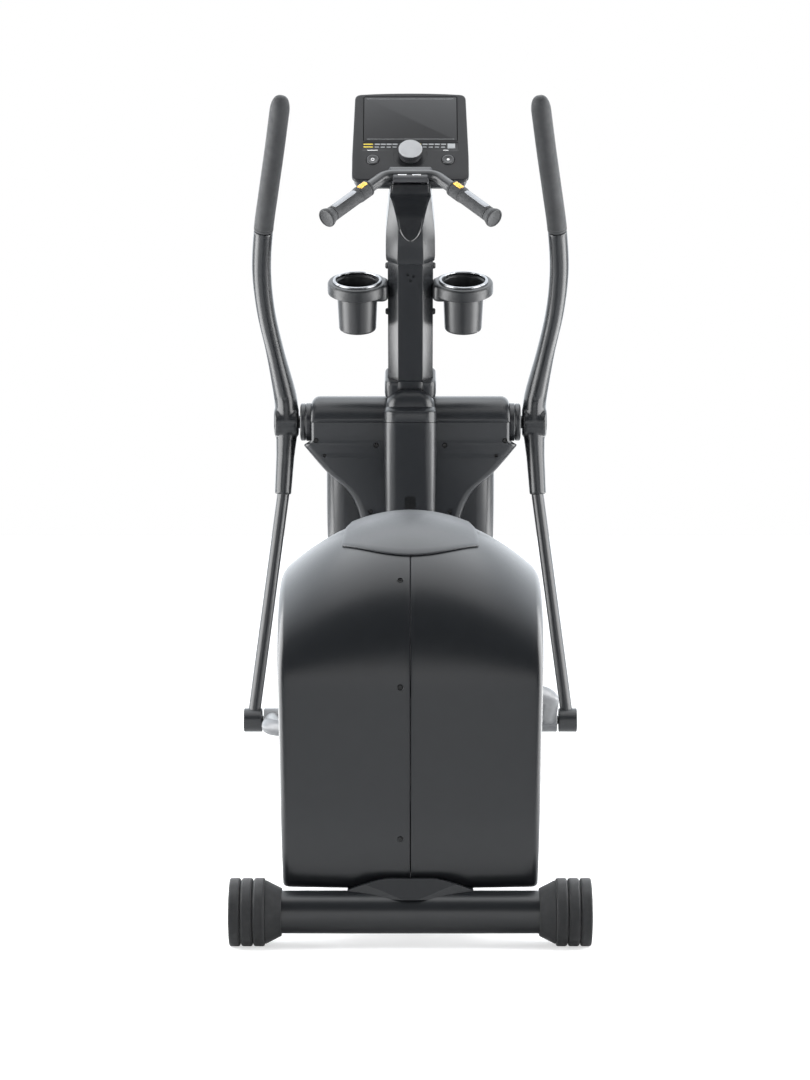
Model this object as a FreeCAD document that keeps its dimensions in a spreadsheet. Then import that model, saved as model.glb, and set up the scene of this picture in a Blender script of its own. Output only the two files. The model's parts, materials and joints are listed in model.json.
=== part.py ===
import FreeCAD, Part
import math
import os
import Sketcher
from FreeCAD import Placement, Rotation, Vector

# Front-mast elliptical trainer. +X is the user's right, +Y forward, +Z up, in millimetres.
# The origin is on the floor, midway between the ends and the sides.
# The user stands on the pedals, faces +Y and sees the console. The drive is in the rear housing.

doc = FreeCAD.newDocument("EllipticalTrainer")

# ---------------------------------------------------------------- driving dimensions
DIMENSIONS = {
    # floor frame
    "rear_y": -988, "front_y": 950, "axle_z": 61.2, "tube_radius": 39, "tube_wall": 3,
    "foot_radius": 62, "rear_half": 330, "front_half": 300, "ring_width": 67, "cone_width": 28,
    "beam_wide": 80, "beam_tall": 56, "beam_wall": 4,
    "wheel_radius": 31, "wheel_wide": 20, "wheel_x": 150, "wheel_y": 1019, "wheel_z": 38,
    "wheel_pin": 5,
    # crank drive
    "crank_y": -656, "crank_z": 435, "crank_radius": 235, "crank_lead": 10,
    "arm_inner": 95, "arm_thick": 18, "shaft_radius": 12.5, "pin_radius": 9,
    "bearing_radius": 26, "bearing_wide": 15, "shell_half": 45,
    "pulley_radius": 170, "pulley_x": -70, "pulley_wide": 20,
    "flywheel_y": -462, "flywheel_z": 300, "flywheel_radius": 108, "flywheel_thick": 36,
    "spindle_radius": 12, "small_pulley": 20, "belt_gap": 0.3, "belt_thick": 4, "belt_wide": 16,
    "running_gap": 0.05,
    # rear housing
    "house_front": 650, "house_floor": 101, "house_waist": 474, "house_crest": 300,
    "house_half": 239, "house_lean": 0.00009, "house_round": 13, "crown_drop": 110, "skin": 4,
    "slot_inner": 122, "slot_outer": 178, "slot_low": 165, "slot_high": 605,
    "cap_half": 128, "cap_rear": 110, "cap_side": 175, "cap_front": 470, "cap_thick": 4,
    # front mast
    "mast_y": 434, "mast_z": 1020, "mast_lean": 23, "mast_half": 52, "mast_deep": 40,
    "mast_strip": 28.5, "mast_long": 400, "mast_wall": 3, "tower_wide": 90, "tower_deep": 64,
    # swing arms
    "pivot_y": 444, "pivot_z": 946, "pivot_tube": 30, "pivot_half": 232, "pivot_pin": 15,
    "end_ring": 26,
    "hub_in": 262, "hub_out": 320, "hub_radius": 35, "swing_drop": 704, "rod_radius": 14.25,
    "low_in": 350, "low_out": 393, "low_radius": 28, "low_pin": 10, "link_in": 304, "link_out": 346,
    "core_radius": 13, "grip_radius": 21,
    # pedal arms, measured from the lower pivot
    "link_long": 1141.6, "link_tube": 19, "link_x": 150, "link_bend": 170,
    "pedal_near": 172, "pedal_long": 355, "pedal_wide": 165, "pedal_x": 157, "pedal_lift": 55,
    "pedal_tilt": 8, "pedal_edge": 34, "pedal_floor": 8,
    # console, measured on its own face
    "face_y": 110, "face_z": 1484, "face_turn": 54.3, "face_half": 130, "face_long": 257,
    "face_deep": 45, "bezel": 10, "screen_half": 105, "screen_low": 113, "screen_high": 245,
    "button_x": 84, "button_y": 58, "button_radius": 14, "knob_y": 73, "knob_radius": 25,
    # cup holders, measured in the leaning mast's frame
    "cup_x": 122, "cup_up": 276, "cup_back": -10, "cup_radius": 47, "cup_flange": 69,
    "cup_deep": 118, "cup_inner": 49, "cup_wall": 3,
    # fixed handlebar
    "bar_radius": 13, "bar_mid": 55, "bar_end": 177, "bar_y": 72, "bar_z": 1490,
    "bar_end_y": -48, "bar_end_z": 1391, "sleeve_radius": 15, "collar_radius": 18,
}

sheet = doc.addObject("Spreadsheet::Sheet", "Dims")
for row, (word, value) in enumerate(DIMENSIONS.items(), start=1):
    sheet.set("A%d" % row, word)
    sheet.set("B%d" % row, str(value))
    sheet.setAlias("B%d" % row, word)
doc.recompute()


class Size:
    """A number from the sheet: its value now, and the formula that keeps it bound."""

    def __init__(self, value, formula):
        self.value = value
        self.formula = formula

    def joined(self, sign, left, right):
        a, b = number(left), number(right)
        results = {"+": a + b, "-": a - b, "*": a * b, "/": a / (b or 1.0)}
        return Size(results[sign], "(%s %s %s)" % (formula(left), sign, formula(right)))

    def __add__(self, other):
        return self.joined("+", self, other)

    def __radd__(self, other):
        return self.joined("+", other, self)

    def __sub__(self, other):
        return self.joined("-", self, other)

    def __rsub__(self, other):
        return self.joined("-", other, self)

    def __mul__(self, other):
        return self.joined("*", self, other)

    def __rmul__(self, other):
        return self.joined("*", other, self)

    def __truediv__(self, other):
        return self.joined("/", self, other)

    def __neg__(self):
        return self.joined("-", 0, self)

    def __float__(self):
        return float(self.value)


class Sheet:
    """Reads a dimension by its word."""

    def __getattr__(self, word):
        return Size(float(sheet.get(word)), "Dims." + word)


d = Sheet()
NODES = []


def number(size):
    return size.value if isinstance(size, Size) else float(size)


def formula(size):
    return size.formula if isinstance(size, Size) else repr(float(size))


def bind(obj, prop, size):
    obj.setExpression(prop, formula(size))


def vector(x, y, z):
    return Vector(number(x), number(y), number(z))


def node(obj, name):
    """Mark a finished sub-part: its label is its node's name."""
    obj.Label = name
    NODES.append(obj)
    return obj


# ---------------------------------------------------------------- primitives and booleans
TURNS = {
    "X": Rotation(Vector(0, 1, 0), 90),
    "Y": Rotation(Vector(1, 0, 0), -90),
    "Z": Rotation(),
}


def place(obj, at, turn=None):
    obj.Placement = Placement(vector(*at), turn or Rotation())
    for letter, where in zip("xyz", at):
        bind(obj, "Placement.Base." + letter, where)
    return obj


def box(name, lows, highs):
    """A box between two corners, each a triple of sizes."""
    obj = doc.addObject("Part::Box", name)
    for prop, low, high in zip(("Length", "Width", "Height"), lows, highs):
        bind(obj, prop, Size(number(high), formula(high)) - low)
    return place(obj, lows)


def cylinder(name, radius, length, at, along="X"):
    obj = doc.addObject("Part::Cylinder", name)
    bind(obj, "Radius", radius)
    bind(obj, "Height", length)
    return place(obj, at, TURNS[along])


def cone(name, radius_a, radius_b, length, at, along="X"):
    obj = doc.addObject("Part::Cone", name)
    bind(obj, "Radius1", radius_a)
    bind(obj, "Radius2", radius_b)
    bind(obj, "Height", length)
    return place(obj, at, TURNS[along])


def fuse(name, *shapes):
    obj = doc.addObject("Part::MultiFuse", name)
    obj.Shapes = list(shapes)
    obj.Refine = True
    return obj


def cut(name, base, *tools):
    obj = doc.addObject("Part::Cut", name)
    obj.Base = base
    obj.Tool = tools[0] if len(tools) == 1 else fuse(name + "_tools", *tools)
    return obj


def common(name, base, tool):
    obj = doc.addObject("Part::Common", name)
    obj.Base = base
    obj.Tool = tool
    return obj


def mirrored(name, source):
    """The same piece on the other side of the middle plane."""
    obj = doc.addObject("Part::Mirroring", name)
    obj.Source = source
    obj.Base = (0, 0, 0)
    obj.Normal = (1, 0, 0)
    return obj


def group(name, *members):
    obj = doc.addObject("Part::Compound", name)
    obj.Links = list(members)
    return obj


def fillet(name, base, radius, wanted):
    """Round the edges that wanted() picks."""
    doc.recompute()
    obj = doc.addObject("Part::Fillet", name)
    obj.Base = base
    edges = enumerate(base.Shape.Edges, start=1)
    obj.Edges = [(i, number(radius), number(radius)) for i, edge in edges if wanted(edge)]
    return obj


def along_axis(letter):
    """Pick straight edges that run along one axis."""
    def wanted(edge):
        if not isinstance(edge.Curve, Part.Line):
            return False
        return abs(getattr(edge.Curve.Direction, letter)) > 0.999
    return wanted


def solid(name, shape):
    """A free-form piece whose shape is worked out below from the sheet's sizes."""
    obj = doc.addObject("Part::Feature", name)
    obj.Shape = shape
    return obj


# ---------------------------------------------------------------- sketched bodies
def new_sketch(body, role):
    sketch = body.newObject("Sketcher::SketchObject", body.Name + "_sketch")
    plane = [f for f in body.Origin.OriginFeatures if f.Role == role][0]
    sketch.AttachmentSupport = (plane, [""])
    sketch.MapMode = "FlatFace"
    return sketch


def fix_point(sketch, index, end, x, y):
    """Pin one point of a sketch to sizes from the sheet."""
    for kind, size, axis in (("DistanceX", x, -2), ("DistanceY", y, -1)):
        if abs(number(size)) < 1e-9:
            sketch.addConstraint(Sketcher.Constraint("PointOnObject", index, end, axis))
            continue
        rule = sketch.addConstraint(Sketcher.Constraint(kind, index, end, number(size)))
        bind(sketch, "Constraints[%d]" % rule, size)


def outline(sketch, points):
    """A closed chain of straight lines through the points."""
    first = sketch.GeometryCount
    count = len(points)
    for i in range(count):
        start = vector(points[i][0], points[i][1], 0)
        end = vector(points[(i + 1) % count][0], points[(i + 1) % count][1], 0)
        sketch.addGeometry(Part.LineSegment(start, end), False)
    for i in range(count):
        rule = Sketcher.Constraint("Coincident", first + i, 2, first + (i + 1) % count, 1)
        sketch.addConstraint(rule)
    for i, (x, y) in enumerate(points):
        fix_point(sketch, first + i, 1, x, y)


def ring(sketch, x, y, radius):
    index = sketch.addGeometry(Part.Circle(vector(x, y, 0), Vector(0, 0, 1), number(radius)), False)
    fix_point(sketch, index, 3, x, y)
    rule = sketch.addConstraint(Sketcher.Constraint("Radius", index, number(radius)))
    bind(sketch, "Constraints[%d]" % rule, radius)


def turned(name, profile, at=(0, 0, 0), along="Z"):
    """A body of revolution. The profile gives (radius, distance along the axis)."""
    body = doc.addObject("PartDesign::Body", name)
    sketch = new_sketch(body, "XZ_Plane")
    outline(sketch, profile)
    turn = body.newObject("PartDesign::Revolution", name + "_turn")
    turn.Profile = sketch
    turn.ReferenceAxis = (sketch, ["V_Axis"])
    turn.Angle = 360
    place(body, at, TURNS[along])
    return body


def padded(name, role, length, at, points=None, holes=()):
    """A flat body: an outline pushed out square to its plane, less round holes."""
    body = doc.addObject("PartDesign::Body", name)
    sketch = new_sketch(body, role)
    outline(sketch, points)
    for x, y, radius in holes:
        ring(sketch, x, y, radius)
    pad = body.newObject("PartDesign::Pad", name + "_pad")
    pad.Profile = sketch
    bind(pad, "Length", length)
    place(body, at)
    return body


# ---------------------------------------------------------------- free-form helpers
def closed_wire(points):
    return Part.makePolygon(points + [points[0]])


def prism(points, push):
    """A straight-sided solid from a flat outline."""
    return Part.Face(closed_wire(points)).extrude(push)


def rounded_section(centre, across, up, half_wide, half_deep, corner):
    """A rounded rectangle as a wire; across and up are unit vectors in its plane."""
    edges = []
    turns = ((1, -1), (1, 1), (-1, 1), (-1, -1))
    inner_wide = half_wide - corner
    inner_deep = half_deep - corner
    ends = []
    for i, (sx, sy) in enumerate(turns):
        middle = centre + across * (sx * inner_wide) + up * (sy * inner_deep)
        side = across * (sx * corner)
        top = up * (sy * corner)
        first, last = (top, side) if i % 2 == 0 else (side, top)
        diagonal = (side + top) * math.sqrt(0.5)
        ends.append((middle + first, middle + diagonal, middle + last))
    for i, (start, middle, end) in enumerate(ends):
        edges.append(Part.Arc(start, middle, end).toShape())
        edges.append(Part.LineSegment(end, ends[(i + 1) % 4][0]).toShape())
    return Part.Wire(edges)


def loft(wires):
    return Part.makeLoft(wires, True, False)


def oval_loft(centres, wide, deep, ahead):
    """A smooth limb through ovals; ahead is the direction that their long axes lean to."""
    wires = []
    for i, centre in enumerate(centres):
        run = centres[min(i + 1, len(centres) - 1)] - centres[max(i - 1, 0)]
        run.normalize()
        side = run.cross(ahead)
        side.normalize()
        front = side.cross(run)
        long_end = centre + front * deep[i]
        wide_end = centre + side * wide[i]
        wires.append(Part.Wire(Part.Ellipse(long_end, wide_end, centre).toShape()))
    return loft(wires)


def bent_path(points, bend):
    """Straight runs joined by tangent arcs of one radius."""
    edges = []
    start = points[0]
    for i in range(1, len(points) - 1):
        back = points[i - 1] - points[i]
        ahead = points[i + 1] - points[i]
        back.normalize()
        ahead.normalize()
        half_turn = (math.pi - back.getAngle(ahead)) / 2
        setback = bend * math.tan(half_turn)
        middle = back + ahead
        middle.normalize()
        centre = points[i] + middle * (bend / math.cos(half_turn))
        arc_start = points[i] + back * setback
        arc_end = points[i] + ahead * setback
        edges.append(Part.LineSegment(start, arc_start).toShape())
        edges.append(Part.Arc(arc_start, centre - middle * bend, arc_end).toShape())
        start = arc_end
    edges.append(Part.LineSegment(start, points[-1]).toShape())
    return Part.Wire(edges)


def bent_rod(points, bend, radius):
    path = bent_path(points, bend)
    start = Part.Circle(points[0], points[1] - points[0], radius).toShape()
    return path.makePipeShell([Part.Wire(start)], True, False)


def rod_between(start, end, radius):
    return Part.makeCylinder(radius, (end - start).Length, start, end - start)


def half_space(low, high):
    """A box used to keep one region of a shape."""
    size = high - low
    return Part.makeBox(size.x, size.y, size.z, low)


# ---------------------------------------------------------------- floor frame
def stabilizer(name, y, half):
    """A round cross tube. Its ends stop short inside the foot caps."""
    outer = cylinder(name + "_outer", d.tube_radius, half * 2, (-half, y, d.axle_z))
    inner = cylinder(name + "_bore", d.tube_radius - d.tube_wall, half * 2, (-half, y, d.axle_z))
    return cut(name + "_tube", outer, inner)


def foot_cap(name, y, half):
    """A grooved rubber cap: three rings, then a cone down to a sleeve on the tube."""
    step = d.ring_width / 3
    groove = 3
    start = half - d.ring_width - d.cone_width
    profile = [(d.tube_radius, start), (d.tube_radius + 5, start), (d.tube_radius + 7, start + 4)]
    profile.append((d.foot_radius - 4, start + d.cone_width))
    for i in range(3):
        base = start + d.cone_width + step * i
        profile.append((d.foot_radius - 1.5, base + groove))
        profile.append((d.foot_radius, base + groove + 2))
        profile.append((d.foot_radius, base + step - 2))
        if i < 2:
            profile.append((d.foot_radius - 3, base + step))
    profile.append((d.foot_radius - 4, half + 0))
    profile.append((0, half + 0))
    profile.append((0, half - 6))
    profile.append((d.tube_radius, half - 6))
    return turned(name, profile, (0, y, d.axle_z), "X")


def make_floor_frame():
    node(stabilizer("rear_bar", d.rear_y, d.rear_half - 6), "rear_stabilizer")
    caps = []
    for end, y, half in (("rear", d.rear_y, d.rear_half), ("front", d.front_y, d.front_half)):
        below = box(end + "_floor", (half - 120, y - 70, -20), (half + 10, y + 70, 0))
        right = cut(end + "_flat_cap", foot_cap(end + "_cap", y, half), below)
        caps += [right, mirrored(end + "_cap_left", right)]
    node(group("caps", *caps), "foot_caps")

    top = d.axle_z + d.beam_tall / 2
    low = d.axle_z - d.beam_tall / 2
    half = d.beam_wide / 2
    wall = d.beam_wall
    outer = box("beam_outer", (-half, d.rear_y, low), (half, d.front_y, top))
    inner_low = (-half + wall, d.rear_y, low + wall)
    inner = box("beam_inner", inner_low, (half - wall, d.front_y, top - wall))
    ends = [cylinder("beam_end%d" % i, d.tube_radius, d.beam_wide, (-half, y, d.axle_z))
            for i, y in enumerate((d.rear_y, d.front_y))]
    node(cut("beam", outer, inner, *ends), "base_beam")

    bar = stabilizer("front_bar", d.front_y, d.front_half - 6)
    ears = []
    for i, x in enumerate((d.wheel_x - 16, d.wheel_x + 12)):
        lows = (x, d.front_y + 10, d.wheel_z - 13)
        ears.append(box("ear%d" % i, lows, (x + 4, d.wheel_y + 14, d.wheel_z + 26)))
    pin = cylinder("wheel_pin", d.wheel_pin, 32, (d.wheel_x - 16, d.wheel_y, d.wheel_z))
    bore = cylinder("ear_trim", d.tube_radius, 60, (d.wheel_x - 30, d.front_y, d.axle_z))
    fork = fuse("fork", cut("ears", fuse("ear_pair", *ears), bore), pin)
    node(fuse("front_base", bar, fork, mirrored("fork_left", fork)), "front_stabilizer")

    half_wheel = d.wheel_wide / 2
    bore_r = d.wheel_pin + d.running_gap
    profile = [
        (bore_r, -half_wheel), (12, -half_wheel), (13, -half_wheel + 4),
        (d.wheel_radius - 8, -half_wheel + 4), (d.wheel_radius - 5, -half_wheel),
        (d.wheel_radius - 2, -half_wheel), (d.wheel_radius, -half_wheel + 3),
        (d.wheel_radius, half_wheel - 3), (d.wheel_radius - 2, half_wheel),
        (d.wheel_radius - 5, half_wheel), (d.wheel_radius - 8, half_wheel - 4),
        (13, half_wheel - 4), (12, half_wheel), (bore_r, half_wheel),
    ]
    for side, x in (("right", d.wheel_x), ("left", -d.wheel_x)):
        wheel = turned("wheel_" + side, profile, (x, d.wheel_y, d.wheel_z), "X")
        node(wheel, "transport_wheel_" + side)


# ---------------------------------------------------------------- crank drive
def make_drive():
    top = d.axle_z + d.beam_tall / 2
    post = box("crank_post", (-30, d.crank_y - 40, top), (30, d.crank_y + 40, d.crank_z))
    hollow = box("crank_post_bore", (-26, d.crank_y - 36, top), (26, d.crank_y + 36, d.crank_z))
    shell_at = (-d.shell_half, d.crank_y, d.crank_z)
    shell = cylinder("crank_shell", d.bearing_radius + 10, d.shell_half * 2, shell_at)
    foot = box("crank_foot", (-40, d.crank_y - 70, top), (40, d.crank_y + 70, top + 8))
    tube = fuse("crank_weld", cut("crank_tube", post, hollow), shell, foot)
    bore = cylinder("crank_bore", d.bearing_radius, d.shell_half * 2, shell_at)
    node(cut("crank_tower", tube, bore), "rear_tower")

    inner = d.shaft_radius + d.running_gap
    race = [(inner, 0), (d.bearing_radius, 0), (d.bearing_radius, d.bearing_wide),
            (inner, d.bearing_wide)]
    bearing = turned("bearing", race, (d.shell_half - d.bearing_wide, d.crank_y, d.crank_z), "X")
    node(group("bearings", bearing, mirrored("bearing_left", bearing)), "crank_bearings")

    reach = d.arm_inner + d.arm_thick
    shaft = cylinder("shaft", d.shaft_radius, reach * 2, (-reach, d.crank_y, d.crank_z))
    node(shaft, "crank_shaft")

    arm = crank_arm()
    node(group("both_arms", arm, crank_arm(left=True)), "crank_arms")

    node(crank_pulley(), "crank_pulley")
    make_flywheel(top)


def crank_arm(left=False):
    """One crank arm with its pin, drawn upright and then turned about the shaft."""
    tag = "left" if left else "right"
    x = -d.arm_inner - d.arm_thick if left else d.arm_inner
    boss = cylinder("arm_boss_" + tag, 27, d.arm_thick, (x, 0, 0))
    tip = cylinder("arm_tip_" + tag, 20, d.arm_thick, (x, 0, d.crank_radius))
    web = box("arm_web_" + tag, (x, -17, 0), (x + d.arm_thick, 17, d.crank_radius))
    pin_x = x - 6 if left else x + d.arm_thick
    pin = cylinder("arm_pin_" + tag, d.pin_radius, 6, (pin_x, 0, d.crank_radius))
    bore = cylinder("arm_bore_" + tag, d.shaft_radius, d.arm_thick, (x, 0, 0))
    arm = cut("arm_" + tag, fuse("arm_body_" + tag, boss, tip, web, pin), bore)
    lead = -number(d.crank_lead) + (180 if left else 0)
    turn = Rotation(Vector(1, 0, 0), lead)
    arm.Placement = Placement(vector(0, d.crank_y, d.crank_z), turn)
    return arm


def crank_pulley():
    """A webbed belt pulley with six windows."""
    wide = d.pulley_wide
    web = 3
    profile = [
        (d.shaft_radius, 0), (30, 0), (30, wide / 2 - web), (d.pulley_radius - 14, wide / 2 - web),
        (d.pulley_radius - 14, 0), (d.pulley_radius, 0), (d.pulley_radius, wide),
        (d.pulley_radius - 14, wide), (d.pulley_radius - 14, wide / 2 + web),
        (30, wide / 2 + web), (30, wide), (d.shaft_radius, wide),
    ]
    disc = turned("pulley_disc", profile, (d.pulley_x, d.crank_y, d.crank_z), "X")
    windows = []
    for i in range(6):
        angle = math.radians(60 * i + 30)
        middle = d.pulley_radius * 0.55
        at = (d.pulley_x, d.crank_y + middle * math.cos(angle), d.crank_z + middle * math.sin(angle))
        windows.append(cylinder("window%d" % i, 34, wide, at))
    return cut("pulley", disc, *windows)


def make_flywheel(top):
    half = d.flywheel_thick / 2
    spindle_out = d.pulley_x + d.pulley_wide
    profile = [
        (0, d.pulley_x - 3), (d.small_pulley - 4, d.pulley_x - 3), (d.small_pulley, d.pulley_x),
        (d.small_pulley, spindle_out), (d.spindle_radius, spindle_out),
        (d.spindle_radius, -half - 1.5), (24, -half - 1.5), (26, -half + 8),
        (d.flywheel_radius - 26, -half + 8), (d.flywheel_radius - 22, -half),
        (d.flywheel_radius - 2, -half), (d.flywheel_radius, -half + 2),
        (d.flywheel_radius, half - 2), (d.flywheel_radius - 2, half),
        (d.flywheel_radius - 22, half), (d.flywheel_radius - 26, half - 8), (26, half - 8),
        (24, half + 1.5), (d.spindle_radius, half + 1.5), (d.spindle_radius, 40), (0, 40),
    ]
    node(turned("fly", profile, (0, d.flywheel_y, d.flywheel_z), "X"), "flywheel")

    plates = []
    plate_thick = 8
    for i, x in enumerate((-34, 26)):
        reach = d.flywheel_z - top
        points = [(-38, 0), (38, 0), (38, 20), (22, reach + 24), (-22, reach + 24), (-38, 20)]
        hole = (0, reach, d.spindle_radius + d.running_gap)
        at = (x, d.flywheel_y, top)
        plates.append(padded("fly_plate%d" % i, "YZ_Plane", plate_thick, at, points, [hole]))
    lows = (-26, d.flywheel_y - 38, top)
    foot = box("fly_foot", lows, (26, d.flywheel_y + 38, top + 8))
    node(fuse("fly_bracket", *plates, foot), "flywheel_bracket")
    node(solid("belt", belt_shape()), "drive_belt")


def belt_loop(grow):
    """The region inside a belt that stands off both pulleys by the same amount."""
    x = number(d.pulley_x + d.pulley_wide / 2 - d.belt_wide / 2)
    big = vector(x, d.crank_y, d.crank_z)
    small = vector(x, d.flywheel_y, d.flywheel_z)
    big_r = number(d.pulley_radius + grow)
    small_r = number(d.small_pulley + grow)
    line = small - big
    lean = math.acos((big_r - small_r) / line.Length)
    heading = math.atan2(line.z, line.y)
    spots = []
    for centre, radius in ((big, big_r), (small, small_r)):
        for side in (1, -1):
            angle = heading + side * lean
            spots.append(centre + Vector(0, math.cos(angle), math.sin(angle)) * radius)
    push = vector(d.belt_wide, 0, 0)
    bridge = prism([spots[0], spots[1], spots[3], spots[2]], push)
    wheels = [Part.makeCylinder(r, push.x, c, Vector(1, 0, 0)) for c, r in ((big, big_r), (small, small_r))]
    return bridge.fuse(wheels).removeSplitter()


def belt_shape():
    return belt_loop(d.belt_gap + d.belt_thick).cut(belt_loop(d.belt_gap))


# ---------------------------------------------------------------- rear housing
def housing_section(across, inset):
    """The housing's side outline at one distance from the middle; it leans in towards the floor."""
    half = number(d.house_half)
    rounding = number(d.house_round)
    flat = half - rounding
    edge = max(0.0, abs(across) - flat) / rounding
    shrink = inset + rounding * (1 - math.sqrt(max(0.0, 1 - edge * edge)))
    crown = number(d.crown_drop) * (abs(across) / half) ** 2
    bow = 14.0 * (abs(across) / half) ** 2
    waist = number(d.house_waist)
    floor = number(d.house_floor) + inset + 0.45 * (shrink - inset)
    rear = number(d.rear_y) + shrink + bow
    front = number(d.rear_y + d.house_front) - shrink - bow
    rise = number(d.house_crest) - crown - shrink
    run = number(d.house_crest) - shrink - bow
    corner = 14.0
    lean = number(d.house_lean)

    def point(y, z):
        return Vector(across * (1 - inset / half) * (1 + lean * (z - waist)), y, z)

    def bulge(start, control, end):
        """A quarter oval from one point to another, towards the corner between them."""
        pull = 0.5523
        curve = Part.BezierCurve()
        curve.setPoles([start, start + (control - start) * pull, end + (control - end) * pull, end])
        return curve.toShape()

    def line(start, end):
        return Part.LineSegment(start, end).toShape()

    rear_low, rear_foot = point(rear, floor + corner), point(rear + corner, floor)
    front_low, front_foot = point(front, floor + corner), point(front - corner, floor)
    rear_top, front_top = point(rear + run, waist + rise), point(front - run, waist + rise)
    rear_waist, front_waist = point(rear, waist), point(front, waist)
    return Part.Wire([
        bulge(rear_foot, point(rear, floor), rear_low),
        line(rear_low, rear_waist),
        bulge(rear_waist, point(rear, waist + rise), rear_top),
        line(rear_top, front_top),
        bulge(front_top, point(front, waist + rise), front_waist),
        line(front_waist, front_low),
        bulge(front_low, point(front, floor), front_foot),
        line(front_foot, rear_foot),
    ])


def housing_block(inset):
    """The whole housing as one crowned block with round sides, drawn in by inset all round."""
    half = number(d.house_half)
    rounding = number(d.house_round)
    flat = half - rounding
    right = [0.0, flat * 0.35, flat * 0.7, flat]
    right += [flat + rounding * math.sin(math.radians(angle)) for angle in (30, 60, 90)]
    stations = [-across for across in reversed(right[1:])] + right
    wires = [housing_section(across, inset) for across in stations]
    return loft(wires)


def make_housing():
    outer = housing_block(0.0)
    inner = housing_block(number(d.skin))
    shell = outer.cut(inner)
    beam_half = number(d.beam_wide) / 2 + 2
    shell = shell.cut(half_space(vector(-beam_half, d.rear_y + 60, 60),
                                 vector(beam_half, d.rear_y + d.house_front - 40, 120)))
    front = number(d.rear_y + d.house_front)
    for side in (1, -1):
        near, far = sorted((side * number(d.slot_inner), side * number(d.slot_outer)))
        low = vector(near, front - 90, d.slot_low)
        shell = shell.cut(half_space(low, vector(far, front + 10, d.slot_high)))
    rear = number(d.rear_y) - 20
    halves = {"right": (0, 300), "left": (-300, 0)}
    for side, (low, high) in halves.items():
        keep = half_space(Vector(low, rear, 0), Vector(high, front + 20, 900))
        node(solid("shell_" + side, shell.common(keep)), "housing_" + side)

    grown = housing_block(-number(d.cap_thick))
    zone = cap_zone()
    node(solid("cap", grown.cut(outer).common(zone)), "housing_cap")
    node(solid("tail", tail_shape(outer)), "housing_trim")


def cap_zone():
    """The cap's outline seen from above: a bowed rear edge and a straight front."""
    half = number(d.cap_half)
    rear = number(d.rear_y)
    z = number(d.house_waist) + 100
    side_rear = Vector(half, rear + number(d.cap_side), z)
    middle = Vector(0, rear + number(d.cap_rear), z)
    bow = Part.Arc(Vector(-side_rear.x, side_rear.y, z), middle, side_rear).toShape()
    front = rear + number(d.cap_front)
    corners = [side_rear, Vector(half - 12, front, z), Vector(-half + 12, front, z),
               Vector(-side_rear.x, side_rear.y, z)]
    lines = [Part.LineSegment(a, b).toShape() for a, b in zip(corners, corners[1:])]
    return Part.Face(Part.Wire([bow] + lines)).extrude(Vector(0, 0, 400))


def tail_shape(outer):
    """A shallow beak that laps from the housing's rear face onto the cross tube."""
    rear = number(d.rear_y)
    level = number(d.axle_z)
    half = 115.0
    side = [Vector(-half, rear + 30, level + 20), Vector(-half, rear + 30, level + 66),
            Vector(-half, rear - 6, level + 62), Vector(-half, rear - 42, level + 18)]
    wedge = prism(side, Vector(2 * half, 0, 0))
    plan = [Vector(-half, rear + 30, 0), Vector(half, rear + 30, 0), Vector(half, rear - 4, 0),
            Vector(half * 0.45, rear - 22, 0), Vector(0, rear - 38, 0),
            Vector(-half * 0.45, rear - 22, 0), Vector(-half, rear - 4, 0)]
    beak = wedge.common(prism(plan, Vector(0, 0, 300)))
    tube_at = Vector(-200, rear, level)
    tube = Part.makeCylinder(number(d.tube_radius), 400, tube_at, Vector(1, 0, 0))
    beam = half_space(vector(-d.beam_wide / 2, d.rear_y - 60, 0),
                      vector(d.beam_wide / 2, d.rear_y + 60, d.axle_z + d.beam_tall / 2))
    arch_low = Vector(-half, rear - 60, level + 40)
    arch = Part.Arc(arch_low, Vector(0, rear - 60, level + 66), Vector(half, rear - 60, level + 40))
    sides = [Vector(half, rear - 60, level + 40), Vector(half, rear - 60, 0),
             Vector(-half, rear - 60, 0), arch_low]
    lines = [Part.LineSegment(a, b).toShape() for a, b in zip(sides, sides[1:])]
    screen = Part.Face(Part.Wire([arch.toShape()] + lines)).extrude(Vector(0, 120, 0))
    return biggest(beak.common(screen).cut(outer).cut(tube).cut(beam))


# ---------------------------------------------------------------- front tower, mast and covers
def mast_frame(obj):
    """Stand a piece in the leaning mast's own frame."""
    return framed(obj, vector(0, d.mast_y, d.mast_z), d.mast_lean)


def framed(obj, origin, lean):
    """Carry a piece from a leaning frame, where it was drawn, into the trainer's frame."""
    for letter in "xyz":
        obj.setExpression("Placement.Base." + letter, None)
    turn = Placement(origin, Rotation(Vector(1, 0, 0), number(lean)))
    obj.Placement = turn.multiply(obj.Placement)
    return obj


def mast_outline(inset):
    """The mast's section: a narrow rear strip between two wide bevels."""
    wide = d.mast_half - inset
    deep = d.mast_deep - inset
    strip = d.mast_strip - inset * 0.4
    bevel = wide - strip
    return [(-strip, -deep), (strip, -deep), (wide, -deep + bevel), (wide, deep - 10),
            (wide - 10, deep), (-wide + 10, deep), (-wide, deep - 10), (-wide, -deep + bevel)]


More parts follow.
